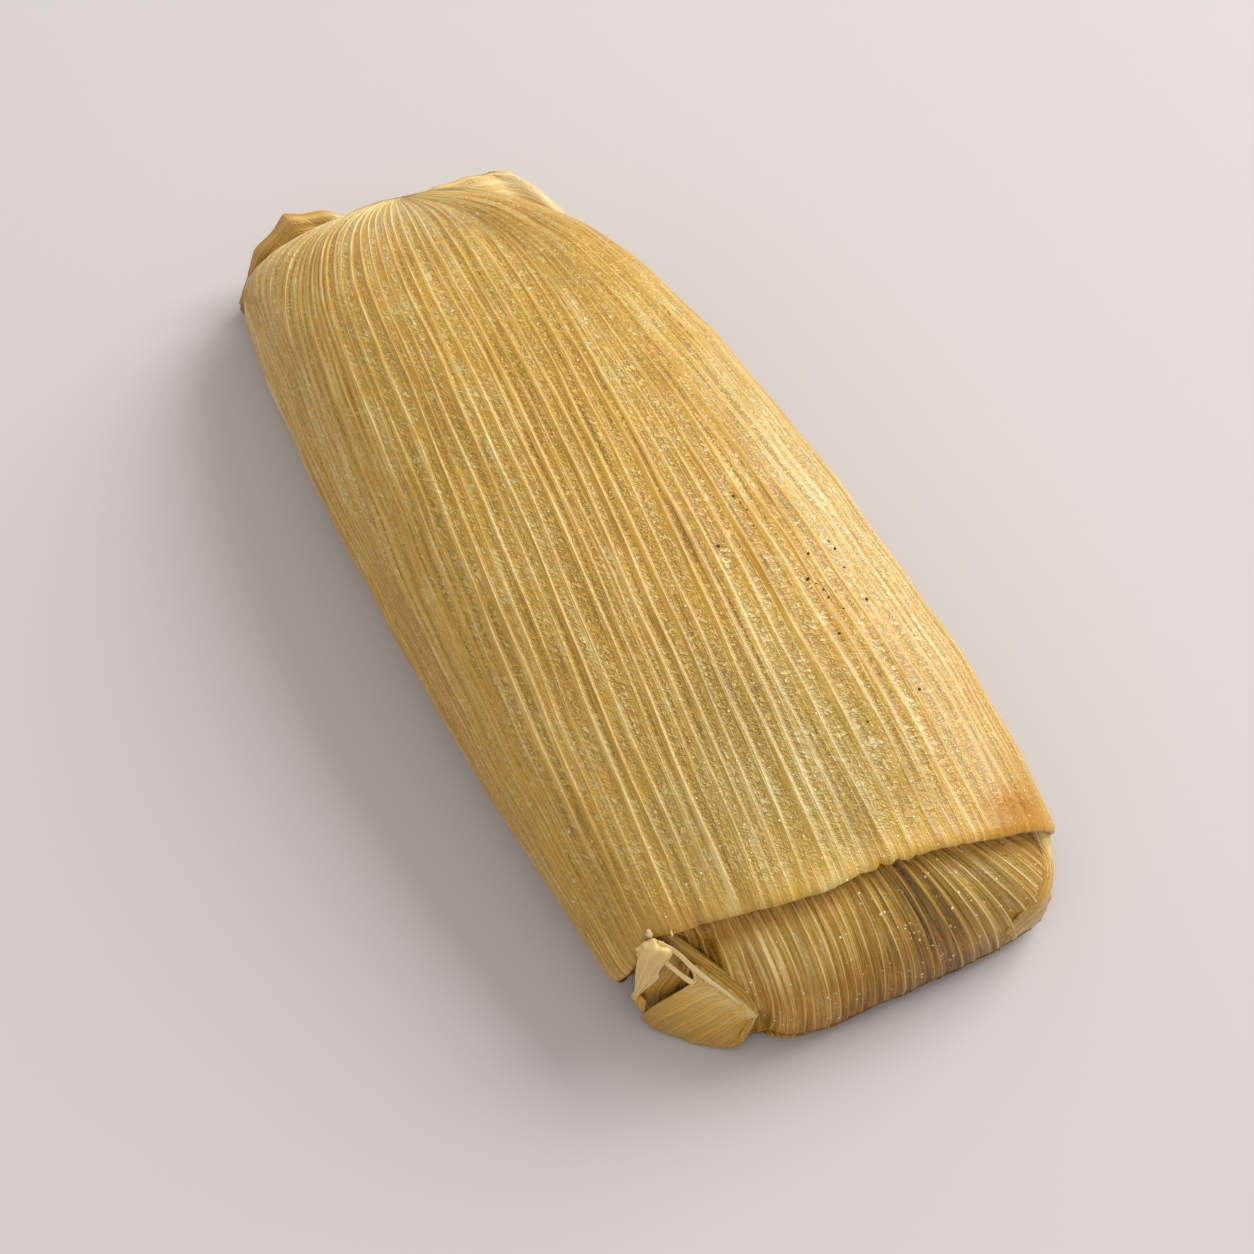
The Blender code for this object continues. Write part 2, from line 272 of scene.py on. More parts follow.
def weighted_sum(material, start, terms):
    """start plus each socket times its weight, as a chain of multiply-add nodes."""
    links = {}
    for socket, weight in terms:
        links[0] = socket
        links[2] = add_node(material, "Math", links, operation="MULTIPLY_ADD", i1=weight, i2=start).outputs[0]
    return links[2]


def new_material(name):
    material = bpy.data.materials.new(name)
    material.use_nodes = True
    material.node_tree.nodes.clear()
    return material


def add_piece(name, points, faces, material, node, attributes=None):
    mesh = bpy.data.meshes.new(name)
    points = points.reshape(-1, 3) + PLACE
    mesh.from_pydata((points * MM).tolist(), [], faces)
    for label, values in (attributes or {}).items():
        layer = mesh.attributes.new(label, "FLOAT_VECTOR", "POINT")
        layer.data.foreach_set("vector", np.asarray(values, np.float32).reshape(-1))
    mesh.materials.append(material)
    mesh.shade_smooth()
    mesh.update()
    piece = bpy.data.objects.new(name, mesh)
    bpy.context.scene.collection.objects.link(piece)
    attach(piece, "root")
    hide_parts(node)
    return piece


def closed_tube(grid, poles, turned=False):
    """A grid of closed rings, with a fan at each end that closes it on a pole: its points and its faces.

    The faces point out. turned is for rings that run the other way round.
    """
    rows, columns = grid.shape[:2]
    here = np.arange(rows - 1)[:, None] * columns
    ring = np.arange(columns)
    after = np.roll(ring, -1)
    quads = np.stack([here + ring, here + after, here + columns + after, here + columns + ring], -1)
    pole, last = 0 * ring + rows * columns, (rows - 1) * columns
    first_fan = np.stack([pole, after, ring], axis=-1)
    last_fan = np.stack([pole + 1, last + ring, last + after], axis=-1)
    faces = quads.reshape(-1, 4).tolist() + first_fan.tolist() + last_fan.tolist()
    if turned:
        faces = [face[::-1] for face in faces]
    return np.vstack([grid.reshape(-1, 3), poles]), faces


def close_columns(count, closeness):
    """Shares of the girth for the columns: their density follows the (share, closeness) table."""
    share = np.linspace(0, 1, 2001)
    density = np.interp(share, *np.array(closeness).T)
    filled = np.concatenate([[0], np.cumsum((density[1:] + density[:-1]) / 2)])
    return np.interp(np.arange(count) / count, filled / filled[-1], share)[None, :]


# Columns lie along the veins, close together where the husk is seen and wider underneath.
HUSK_COLUMNS = 720
husk_closeness = [(0.0, 0.8), (0.14, 0.8), (0.2, 3.4), (0.84, 3.4), (0.9, 0.8), (1.0, 0.8)]
vein = close_columns(HUSK_COLUMNS, husk_closeness)

FAN_ROWS, BODY_ROWS, INNER_ROWS = 36, 86, 8
fan_steps = np.linspace(0, 1, FAN_ROWS + 1)[1:, None] ** 1.2
body_steps = 2 - (1 - np.linspace(0, 1, BODY_ROWS + 1)[1:, None]) ** 1.25
SKIN_INSET = 0.25
lip = lip_edge(vein)
skin = wrapped(np.vstack([fan_steps, body_steps]), vein, SKIN_INSET, lip)
normal = outwards(skin)

# Relief: ribs 2 mm apart on the crown, closer on the flanks, with finer veins between them.
along = run_down(skin)
across = np.broadcast_to(vein * GIRTH, along.shape)
crown_share = ease(vein, 0.3, 0.4) * (1 - ease(vein, 0.62, 0.7))
rib_places = vein_places(11, lambda place: 1.3 + 0.7 * ease(place, 46, 62) * (1 - ease(place, 98, 106)))
fine_places = vein_places(13, lambda place: 0.62)
rib, band, rib_count = ribs(across, along, rib_places, 0.14, 0.5, 12)
fine, _, fine_count = ribs(across, along, fine_places, 0.13, 0.17, 14)
crowding = np.linalg.norm(np.roll(skin, -1, axis=1) - skin, axis=-1)
crowding = np.clip(crowding / np.maximum(crowding[-40:].mean(axis=0), 1e-6), 0.0, 1.0)
from_lip = along[-1] - along
flattened = 1 - 0.5 * ease(-skin[..., 1], 40, 60) - 0.32 * ease(-from_lip, -2.6, -0.6)
RIB_RISE, CROWN_RIB_RISE, FINE_RISE = 0.3, 0.08, 0.05
relief = rib * (RIB_RISE + CROWN_RIB_RISE * crown_share) + FINE_RISE * fine
relief = relief * flattened * np.clip(2.4 * crowding, 0.2, 1.0)
swell = 0.22 * ripple(across + 0.2 * along, [31.0, 19.0, 12.5], 5) * np.sin(along / 17 + 0.6)
swell = swell + 0.12 * ripple(along - 0.3 * across, [27.0, 15.0], 6)

# The husk's free edge lies under the parcel: the surface steps in by its thickness and comes back slowly.
SEAM_PLACE, SEAM_STEP = 9.0, 0.45
past_seam = across - SEAM_PLACE - 0.04 * along - 0.5 * np.sin(along / 21)
seam = SEAM_STEP * ease(past_seam, 0.0, 0.6) * (1 - ease(past_seam, 6.0, 14.0))
LIP_ROLL, LIP_ROLL_DEPTH = 1.5, 0.35
rolled = LIP_ROLL_DEPTH * (1 - np.sqrt(1 - np.clip(1 - from_lip / LIP_ROLL, 0, 1) ** 2))
skin = raised(skin, normal, relief + swell * crowding - seam * crowding - rolled)
skin[..., 2] = np.maximum(skin[..., 2], 0.0)

# The lip turns in over its own thickness, and the inside runs back to the gather.
HUSK_THICKNESS = 0.5
LINING_INSET = 0.7 + HUSK_THICKNESS
turned_in = skin[-1] + np.array([0, -0.14, 0]) - normal[-1] * 0.5 * HUSK_THICKNESS
inner_start = skin[-1] + np.array([0, 0.05, 0]) - normal[-1] * HUSK_THICKNESS
inner_steps = np.concatenate([np.linspace(1.97, 1.0, INNER_ROWS - 3), [0.6, 0.25, 0.05]])[:, None]
inside = wrapped(inner_steps, vein, LINING_INSET, lip)
inner_start[..., 2] = np.maximum(inner_start[..., 2], 0.3)
rings = np.concatenate([skin, turned_in[None], inner_start[None], inside])
gather = np.array([GATHER_X, GATHER_Y - FAR_SLANT * GATHER_X, GATHER_Z])
points, faces = closed_tube(rings, [gather - [0, SKIN_INSET, 0], gather - [0, LINING_INSET - 0.1, 0]])


def per_point(layers, hidden_rows=0):
    """Three layers as one vector for each point; hidden rows and both poles repeat the last row's values."""
    values = np.stack(np.broadcast_arrays(*layers), axis=-1)
    values = np.concatenate([values, np.repeat(values[-1:], hidden_rows, axis=0)]).reshape(-1, 3)
    return np.vstack([values, values[-1], values[-1]])


# Finish: how smooth the skin is, the count of the ribs, and how broad their crest lines are. The lip
# and the gather are smooth, and the crest lines are broad where the veins crowd into the gather.
hidden = len(rings) - len(skin)
lip_smooth = 0.45 * (1 - ease(from_lip, 1.0, 5.0)) + 0.4 * (1 - ease(from_lip, 3.0, 22.0))
gather_smooth = 0.9 * (1 - ease(along, 2.0, 14.0))
smooth = np.maximum(np.maximum(band, lip_smooth), gather_smooth)
breadth = 1.0 + 3.0 * (1 - ease(along, 2.0, 24.0)) - 0.5 * (1 - ease(from_lip, 0.5, 4.0))
fibre = per_point([across, along, fine_count], hidden)
finish = per_point([smooth, rib_count, breadth], hidden)

# Stains, each (x, y, half width, half length, strength): toasted orange, pale green and dark wet places; a
# few entries are painted light and shade instead.
TOASTED = [(15, -29, 4, 9, 0.15), (20, -66.6, 9, 1.6, 0.4), (21.3, -63.5, 4.6, 3.0, 1.0),
           (26, -62, 4, 5, 0.15), (-25, -57, 4, 5, 0.3), (7, 50, 9, 7, 0.15)]
# The pale-green entry at (25, -8) is a painted sheen that whitens the right shoulder, where the window light
# glosses it.
GREENISH_AND_SHEEN = [(3, -50, 12, 11, 0.9), (-9, -48, 9, 14, 0.6), (-2, -34, 10, 11, 0.45), (-13, -8, 9, 30, 0.2),
            (-18, -50, 6, 8, 0.3), (25, -8, 6, 28, 0.45)]
# The dark entry at (-30, -20) is painted shade on the left flank, turned from the window; the negative one at
# (25, -8) is painted sheen on the right shoulder.
DARKENED_SHADE_AND_SHEEN = [(-3, -36, 4, 8, 0.3), (-9, -27, 3, 12, 0.2), (-30, -20, 3, 40, 0.15), (4, -57, 16, 3, 0.15),
            (0, -18, 14, 24, 0.08), (25, -8, 6, 28, -0.35), (17, -27, 5, 9, -0.2)]


def stained(points, groups):
    """Strength of each group of stains: the sum of strength * exp(-(x / width)^2 - (y / length)^2)."""
    x, y = points[..., 0], points[..., 1]
    layers = [sum(strength * np.exp(-(((x - x0) / width) ** 2) - ((y - y0) / length) ** 2)
                  for x0, y0, width, length, strength in group) for group in groups]
    return np.stack(layers, axis=-1)


def husk_material(name, deep, body, pale, gloss, wrinkling, lined=1.0, uneven=1.0):
    """Steamed corn husk: a fibrous leaf, wet and a little translucent.

    Long streaks follow the fibre attribute's across and along lengths (mm), as strong as uneven says.
    Thin pale crest lines stand where a rib count is whole, as strong as lined says; their paleness is
    partly a painted highlight on each rib's crest. The finish attribute's smooth bands have no wrinkles;
    the panels between are crossed by fine wrinkles that catch the light, and their light and dark flecks
    in the colour are partly painted glints and shade. The stain attribute says how toasted, how green and
    how dark each place is, and it carries some painted light and shade too.
    """
    material = new_material(name)
    layers = []
    for label in ("fibre", "finish", "stain"):
        vector = add_node(material, "Attribute", attribute_name=label).outputs["Vector"]
        layers.append(add_node(material, "SeparateXYZ", {"Vector": vector}).outputs)
    fibre, finish, stain = layers
    place = add_node(material, "TexCoord")

    def noise_along(per_mm_across, per_mm_along, lean=0.0, **settings):
        """A noise whose grain follows the fibres: both lengths times their scales, leaned over if wanted."""
        slid = weighted_sum(material, 0.0, [(fibre["X"], lean), (fibre["Y"], per_mm_along)])
        wide = weighted_sum(material, 0.0, [(fibre["X"], per_mm_across)])
        vector = add_node(material, "CombineXYZ", {"X": wide, "Y": slid}).outputs[0]
        return add_node(material, "TexNoise", {"Vector": vector}, Scale=1.0, **settings).outputs["Fac"]

    def crest_lines(count, breadth, seed):
        """Thin lines where the count is whole, each as strong as one random value says."""
        whole = add_node(material, "Math", {0: count}, operation="ROUND").outputs[0]
        off = add_node(material, "Math", {0: count, 1: whole}, operation="SUBTRACT").outputs[0]
        off = add_node(material, "Math", {0: off}, operation="ABSOLUTE").outputs[0]
        line = add_node(material, "MapRange", {"Value": off, "From Max": breadth},
                        interpolation_type="SMOOTHSTEP", i1=0.0, i3=1.0, i4=0.0)
        keyed = add_node(material, "Math", {0: whole}, operation="ADD", i1=seed).outputs[0]
        strength = add_node(material, "TexWhiteNoise", {"W": keyed}, noise_dimensions="1D")
        strength = weighted_sum(material, 0.4, [(strength.outputs["Value"], 0.6)])
        return add_node(material, "Math", {0: line.outputs[0], 1: strength}, operation="MULTIPLY").outputs[0]

    streaks = noise_along(0.9, 0.028, Detail=3.0)
    threads = noise_along(3.4, 0.1, Detail=2.0)
    # The real wrinkles lie across the ribs, 0.2 mm wide; they are drawn a little coarser, to show.
    wrinkles = noise_along(1.45, 1.45, 0.9, Detail=2.0, Roughness=0.5, Distortion=1.5)
    mottle = noise_along(0.5, 0.22, Detail=2.0)
    patches = add_node(material, "TexNoise", {"Vector": place.outputs["Object"]}, Scale=55.0, Detail=2.0)
    patchy = add_node(material, "MapRange", {"Value": mottle}, i1=0.35, i2=0.6, i3=0.45, i4=1.0)
    crisp = add_node(material, "MapRange", {"Value": wrinkles}, i1=0.38, i2=0.62, i3=-0.5, i4=0.5)
    panel = weighted_sum(material, wrinkling, [(finish["X"], -wrinkling)])
    panel = add_node(material, "Math", {0: panel, 1: patchy.outputs[0]}, operation="MULTIPLY")
    wrinkled = add_node(material, "Math", {0: crisp.outputs[0], 1: panel.outputs[0]}, operation="MULTIPLY")
    wrinkled = wrinkled.outputs[0]
    main_breadth = weighted_sum(material, 0.0, [(finish["Z"], 0.046)])
    main_lines = crest_lines(finish["Y"], main_breadth, 0.5)
    thread_breadth = weighted_sum(material, 0.12, [(finish["Z"], 0.025)])
    thread_lines = crest_lines(fibre["Z"], thread_breadth, 900.5)

    # Painted light in the tone: the crest lines add a painted highlight, and the wrinkle flecks add painted
    # glints and shade.
    # Each noise is about a half, so less of one is made up for in the start.
    tone = weighted_sum(material, 0.42 - 0.875 * uneven - 0.35 * lined, [
        (finish["Z"], 0.06), (streaks, uneven), (threads, 0.7 * lined),
        (patches.outputs["Fac"], 0.3 * uneven), (mottle, 0.45 * uneven), (wrinkled, 0.5),
        (main_lines, 0.54 * lined), (thread_lines, 0.22 * lined), (stain["Z"], -0.5)])
    ramp = add_node(material, "ValToRGB", {"Fac": tone})
    stops = ramp.color_ramp.elements
    stops[0].position, stops[0].color = 0.0, linear(deep)
    stops[1].position, stops[1].color = 1.0, linear(pale)
    stops.new(0.5).color = linear(body)
    toasted = add_node(material, "Mix", {"Factor": stain["X"], 6: ramp.outputs["Color"]},
                       data_type="RGBA", blend_type="MULTIPLY", i7=linear("#dec078"))
    colour = add_node(material, "Mix", {"Factor": stain["Y"], 6: toasted.outputs[2]},
                      data_type="RGBA", blend_type="MULTIPLY", i7=linear("#e4efff"))

    roughness = weighted_sum(material, gloss, [(wrinkled, -0.1), (threads, 0.12)])
    coat = weighted_sum(material, 0.46, [(stain["X"], -0.35)])
    sheen = weighted_sum(material, 0.5, [(stain["X"], -0.3)])
    height = weighted_sum(material, 0.0, [(wrinkled, 0.3), (threads, 0.06), (main_lines, 0.1),
                                          (thread_lines, 0.05 * lined)])
    bump = add_node(material, "Bump", {"Height": height}, Strength=1.0, Distance=MM)
    shader = add_node(material, "BsdfPrincipled",
                      {"Base Color": colour.outputs[2], "Roughness": roughness, "Normal": bump.outputs[0],
                       "Coat Weight": coat, "Specular IOR Level": sheen}, IOR=1.5, Subsurface_Weight=0.12,
                      Subsurface_Scale=0.0009, Subsurface_Radius=(1.0, 0.6, 0.2), Coat_Roughness=0.34)
    add_node(material, "OutputMaterial", {"Surface": shader.outputs[0]})
    return material


stain = stained(points, [TOASTED, GREENISH_AND_SHEEN, DARKENED_SHADE_AND_SHEEN])
# Husk steamed and left to dry a little: straw gold and satin, with milky ribs and deep gold between them.
steamed_husk = husk_material("steamed_husk_straw", "#90660a", "#d2a232", "#f2db98", 0.3, 1.0)
add_piece("outer_husk_wrap", points, faces, steamed_husk, "outer_husk",
          {"fibre": fibre, "finish": finish, "stain": stain})


# ------------------------------------------------------------
# Inner parcel. The inner husk round the filling, in one body from end to end. At the near end it is
# folded down over the end as a pleated flap, wetter than the outer husk because it lay in the steam.

# How deep it lies under the outer husk's surface, and then the flap's depth, slant and shape.
LAYER_GAP = 1.3
FLAP_END = -71.6
FLAP_DEPTH = 14.0
FLAP_SLANT = 0.08
FLAP_SQUARENESS = 2.4
FLAP_NARROWING = 0.1
FLAP_CORNER = 0.2
FLAP_RIGHT_TRIM = 1.0
FLAP_TUCK_Z = 2.0
LIP_GAP = 0.9
CUT_CORNER = np.array([[-28.6, -53.4], [-20.8, -64.8]])
CUT_END_REACH = 22.2


def corner_cut(points):
    """Narrows the left side beyond the line that cuts the near-left corner, where the curl stands."""
    (x0, y0), (x1, y1) = CUT_CORNER
    reach = smooth_between(points[..., 1], STATION, LEFT_REACH)
    line = np.maximum(-x0 - (points[..., 1] - y0) * (x1 - x0) / (y1 - y0), CUT_END_REACH)
    narrow = np.where(points[..., 0] < 0, np.minimum(line / reach, 1.0), 1.0)
    return points * np.stack([narrow, np.ones_like(narrow), np.ones_like(narrow)], axis=-1)


def flap_surface(arc, turn):
    """Near end of the parcel: its section sinks along a superellipse arc to a fold low on the end.

    On the way down the section narrows a little, and its two corners are held back.
    """
    drop, ahead = np.cos(arc) ** (2 / FLAP_SQUARENESS), np.sin(arc) ** (2 / FLAP_SQUARENESS)
    start = FLAP_END + FLAP_DEPTH
    level = start + (FLAP_END - start) * ahead
    x, z = section(angle_at(turn), level, LAYER_GAP + LIP_GAP * (1 - ahead))
    z = FLAP_TUCK_Z + (z - FLAP_TUCK_Z) * drop
    reach = smooth_between(level, STATION, RIGHT_REACH)
    corner = np.clip(np.abs(x) / reach, 0, 1) ** 8
    x = x * (1 - FLAP_NARROWING * (1 - drop) ** 2) - FLAP_RIGHT_TRIM * ease(x, 15.0, 26.0)
    y = start + (FLAP_END - start) * ahead * (1 - FLAP_CORNER * corner) - FLAP_SLANT * x * ahead
    return np.stack([x, y, z], axis=-1)


FLAP_COLUMNS = 680
flap_closeness = [(0.0, 0.6), (0.14, 0.6), (0.2, 3.2), (0.82, 3.2), (0.88, 0.6), (1.0, 0.6)]
turn = close_columns(FLAP_COLUMNS, flap_closeness)
buried = wrapped(np.array([0.08, 0.3, 0.6, 1.0])[:, None], turn, LAYER_GAP, np.full_like(turn, -50.0))
level = np.linspace(48.0, -50.0, 9)[:, None]
x, z = section(angle_at(turn), level, LAYER_GAP)
buried = np.concatenate([buried[:3], np.stack([x, slanted(x, level) + 0 * x, z], axis=-1)])
level = np.linspace(-51.0, FLAP_END + FLAP_DEPTH, 14)[:, None]
x, z = section(angle_at(turn), level, LAYER_GAP)
ledge = np.stack([x, level + 0 * x, z], axis=-1)
arc = np.linspace(0, 1, 100)[1:-1, None] ** 0.8 * np.pi / 2
flap = corner_cut(np.concatenate([buried, ledge, flap_surface(arc, turn)]))

# The flap's pleats leave the lip nearly straight on the left and spread more and more to the right. A
# pleat that starts at u on the lip's line lies at x = u + run * spread(u), where run grows down the flap.
PLEAT_LINE, PLEAT_HEIGHT = -64.0, 19.0
PLEAT_SPREAD, PLEAT_STILL, PLEAT_FULL = 0.62, -7.0, 20.0
flank_drop = np.clip(18.0 - flap[..., 2], 0, 18) * ease(np.abs(flap[..., 0]), 19.0, 26.0)
flank_drop = flank_drop * (1 - ease(-flap[..., 1], 54.0, 58.0)) * np.sign(flap[..., 0])
run = np.clip(PLEAT_LINE - flap[..., 1] + 0.5 * (PLEAT_HEIGHT - flap[..., 2]), -4.0, 18.0)
pleat_at = flap[..., 0] + flank_drop
for _ in range(14):
    pleat_at = flap[..., 0] + flank_drop - run * PLEAT_SPREAD * ease(pleat_at, PLEAT_STILL, PLEAT_FULL)
flap_across = 80.0 - pleat_at
flap_along = run_down(flap)
random = np.random.default_rng(21)
flap_places = np.cumsum(random.uniform(0.9, 1.8, 110))
pleat, pleat_band, pleat_count = ribs(flap_across, flap_along, flap_places, 0.22, 0.55, 22)
thread_places = np.cumsum(random.uniform(0.32, 0.58, 320))
thread, _, thread_count = ribs(flap_across, flap_along, thread_places, 0.12, 0.16, 23)
shown = ease(-flap[..., 1], 52.0, 56.0)
spacing = np.linalg.norm(np.roll(flap, -1, axis=1) - flap, axis=-1)
bounded = np.clip(spacing / 0.16, 0.0, 1.0) * (0.35 + 0.65 * ease(flap[..., 2], 2.0, 5.0))
swell = 0.3 * ripple(flap_across, [13.0, 7.5, 4.6], 24)

# The flap gives way along the line where the curled corner leans on it: each place, and how deep.
CURL_BED = np.array([[-22.7, -58.2, 15.0, 0.9], [-22.5, -60.8, 11.5, 0.8], [-20.6, -64.0, 8.6, 1.4],
                     [-19.0, -66.0, 5.8, 1.9], [-20.4, -66.2, 2.6, 1.9]])
CURL_BED_PUSH = np.array([0.28, 0.46, -0.84])
bed_share = np.linspace(0, len(CURL_BED) - 1, 50)
bed_line = np.stack([np.interp(bed_share, np.arange(len(CURL_BED)), row) for row in CURL_BED.T], axis=-1)
bed = np.max([depth * (1 - ease(np.linalg.norm(flap - place, axis=-1), 1.4, 3.4))
              for place, depth in zip(bed_line[:, :3], bed_line[:, 3])], axis=0)
PLEAT_RISE, THREAD_RISE, BED_FLATTENING = 0.58, 0.18, 0.42
flap_relief = (PLEAT_RISE * pleat + THREAD_RISE * thread + swell) * shown * bounded
flap_relief = flap_relief * (1 - BED_FLATTENING * bed)
flap_base, flap_out = flap, outwards(flap)
flap = raised(flap_base, flap_out, flap_relief) + CURL_BED_PUSH * bed[..., None]
flap[..., 2] = np.maximum(flap[..., 2], 0.9)

points, faces = closed_tube(flap, [gather - [0, LAYER_GAP, LAYER_GAP], flap[-1].mean(axis=0)])
fibre = per_point([flap_across, flap_along, thread_count])
finish = per_point([pleat_band * shown, pleat_count, 0.4 + 1.4 * shown])
FLAP_TOASTED = [(-5, -66, 3, 8, 0.15)]
FLAP_GREENISH = [(6, -66, 7, 6, 0.5), (14, -70, 6, 5, 0.3)]
# The dark entry at (-21.5, -59) is painted shadow under the lip beside the curl, and the negative one at
# (-13, -66.5) is painted light on the flap's left part.
FLAP_DARK_SHADE_AND_LIGHT = [(4, -66.5, 3.6, 6, 0.7), (8, -70.5, 2.5, 4, 0.35), (3, -68, 12, 8, 0.1),
                 (-11, -64, 3, 3, 0.25), (-13, -66.5, 5, 6, -0.2), (-21.5, -59, 2.5, 3, 0.5),
                 (1, -65.5, 8, 3, 0.15)]
stain = stained(points, [FLAP_TOASTED, FLAP_GREENISH, FLAP_DARK_SHADE_AND_LIGHT])
# Painted shade: the flap is made deepest in colour in the lip's shadow just under the lip, and low down
# towards the floor, more so on the left, away from the window.
past_lip = smooth_between(points[:, 0], LIP_LINE[:, 0], LIP_LINE[:, 1]) - points[:, 1]
stain[:, 0] += 0.5 * (1 - ease(past_lip, 0.3, 2.0))
painted_foot_shade = 1 - ease(points[:, 2], 10.0, 16.5)
stain[:, 0] += 0.2 + (0.55 - 0.3 * ease(points[:, 0], -4.0, 14.0)) * painted_foot_shade
stain[:, 2] += 0.15 * painted_foot_shade + 0.3 * (1 - ease(points[:, 2], 3.0, 9.0))
# Husk still wet from the steam: amber, glossier and more strongly lined, with hardly a wrinkle.
wet_husk = husk_material("wet_husk_amber", "#684a02", "#c89a2c", "#f6e2a4", 0.22, 0.35, 1.6, 0.5)
add_piece("inner_husk_parcel", points, faces, wet_husk, "inner_parcel",
          {"fibre": fibre, "finish": finish, "stain": stain})


# The wet husk's side layer is folded round the flap's right end and shows as a smooth band below it.
SIDE_BAND = np.array([
    [[24.7, -61.2, 15.0], [24.4, -65.6, 12.2], [24.1, -66.9, 11.0], [23.2, -68.7, 10.3], [21.9, -70.2, 9.9],
     [19.8, -71.4, 9.3], [18.3, -71.9, 8.7], [16.8, -72.3, 7.5], [15.8, -72.5, 6.6], [14.8, -72.7, 5.4]],
    [[25.7, -61.4, 14.8], [24.9, -66.3, 12.4], [24.9, -67.5, 10.9], [24.4, -68.6, 9.6], [23.5, -69.7, 8.7],
     [21.6, -71.1, 7.6], [20.2, -71.8, 6.6], [18.6, -72.1, 5.6], [17.4, -71.9, 4.8], [15.9, -72.4, 3.6]],
    [[26.5, -60.8, 12.4], [25.3, -65.7, 10.8], [25.5, -65.9, 8.5], [24.7, -67.5, 7.5], [24.0, -68.9, 6.2],
     [22.4, -70.9, 4.8], [21.1, -71.8, 3.9], [19.2, -71.6, 2.9], [17.6, -71.3, 2.2], [16.2, -71.5, 1.6]],
    [[26.2, -59.6, 9.2], [24.7, -63.9, 7.2], [24.4, -64.9, 6.2], [23.6, -66.4, 5.0], [22.8, -67.7, 3.8],
     [21.2, -69.7, 2.4], [19.9, -70.6, 1.5], [18.0, -70.4, 0.6], [16.4, -70.1, 0.5], [15.0, -70.3, 0.5]],
])


def along_curve(share, knots):
    """Smooth curve through evenly spaced knots, one Hermite curve for each axis."""
    places = np.linspace(0, 1, len(knots))
    return np.stack([smooth_between(share, places, knots[:, axis]) for axis in range(3)], axis=-1)


def drawn_over(net, rows, columns):
    """Smooth sheet over a net of points: curves along the net's rows, then curves across those.

    Also gives each point's share of the way down and along the sheet.
    """
    down, along = np.meshgrid(np.linspace(0, 1, rows), np.linspace(0, 1, columns), indexing="ij")
    guides = np.stack([along_curve(along[0], guide) for guide in net]).reshape(len(net), -1)
    places = np.linspace(0, 1, len(net))
    sheet = np.stack([smooth_between(down[:, 0], places, knots) for knots in guides.T], axis=-1)
    return sheet.reshape(rows, columns, 3), down, along


def add_sheet(name, grid, fibre, finish, stain, thickness, material, node):
    """An open grid of points made into a leaf of the given thickness (mm), with closed edges.

    Each of fibre, finish and stain is three layers, and a layer is a grid or one number.
    """
    rows, columns = grid.shape[:2]
    corner = (np.arange(rows - 1)[:, None] * columns + np.arange(columns - 1)).reshape(-1)
    faces = np.stack([corner, corner + columns, corner + columns + 1, corner + 1], axis=-1).tolist()
    attributes = {"fibre": fibre, "finish": finish, "stain": stain}
    for label, layers in attributes.items():
        attributes[label] = np.broadcast_to(np.stack(np.broadcast_arrays(*layers), axis=-1), grid.shape)
    piece = add_piece(name, grid, faces, material, node, attributes)
    wall = piece.modifiers.new("leaf thickness", "SOLIDIFY")
    wall.thickness = thickness * MM
    wall.offset = -1.0
    wall.use_even_offset = False


def sheet_normals(grid):
    """Unit normals of an open grid, from the differences along its rows and columns."""
    return unit(np.cross(np.gradient(grid, axis=0), np.gradient(grid, axis=1)))


def draped(grid, surface, normals, height, share):
    """Moves points along a surface's normals to a height above its nearest place, by the given share."""
    low, high = grid.min(axis=(0, 1)) - 3, grid.max(axis=(0, 1)) + 3
    close = np.all((surface > low) & (surface < high), axis=-1)
    places, directions = surface[close], normals[close]
    nearest = np.stack([np.linalg.norm(row[:, None] - places, axis=-1).argmin(axis=1) for row in grid])
    direction = directions[nearest]
    above = np.sum((grid - places[nearest]) * direction, axis=-1)
    return raised(grid, direction, (height - above) * share)


# Its upper edge and its left end lie on the flap and sink into it a little, so that no gap shows.
side_band, down, length = drawn_over(SIDE_BAND, 30, 60)
band_height = (0.6 * ease(down, 0.0, 0.35) - 0.15) * (1 - ease(length, 0.55, 0.85))
band_height = band_height - 0.4 * ease(length, 0.6, 0.9)
pressed = np.maximum(1 - ease(down, 0.25, 0.6), ease(length, 0.55, 0.8))
side_band = draped(side_band, flap_base, flap_out, band_height, pressed)
side_places = np.cumsum(np.random.default_rng(25).uniform(0.6, 1.1, 14))
_, band, side_count = ribs(down * 6, length * 14, side_places, 0.2, 0.3, 26)
band_light = 1 - ease(length, 0.15, 0.5)
add_sheet("flap_side_band", side_band, [down * 6, length * 14, side_count], [band, side_count, 0.5],
          [0.2 + 0.2 * band_light, 0, -0.8 * band_light], 0.4, wet_husk, "inner_parcel")

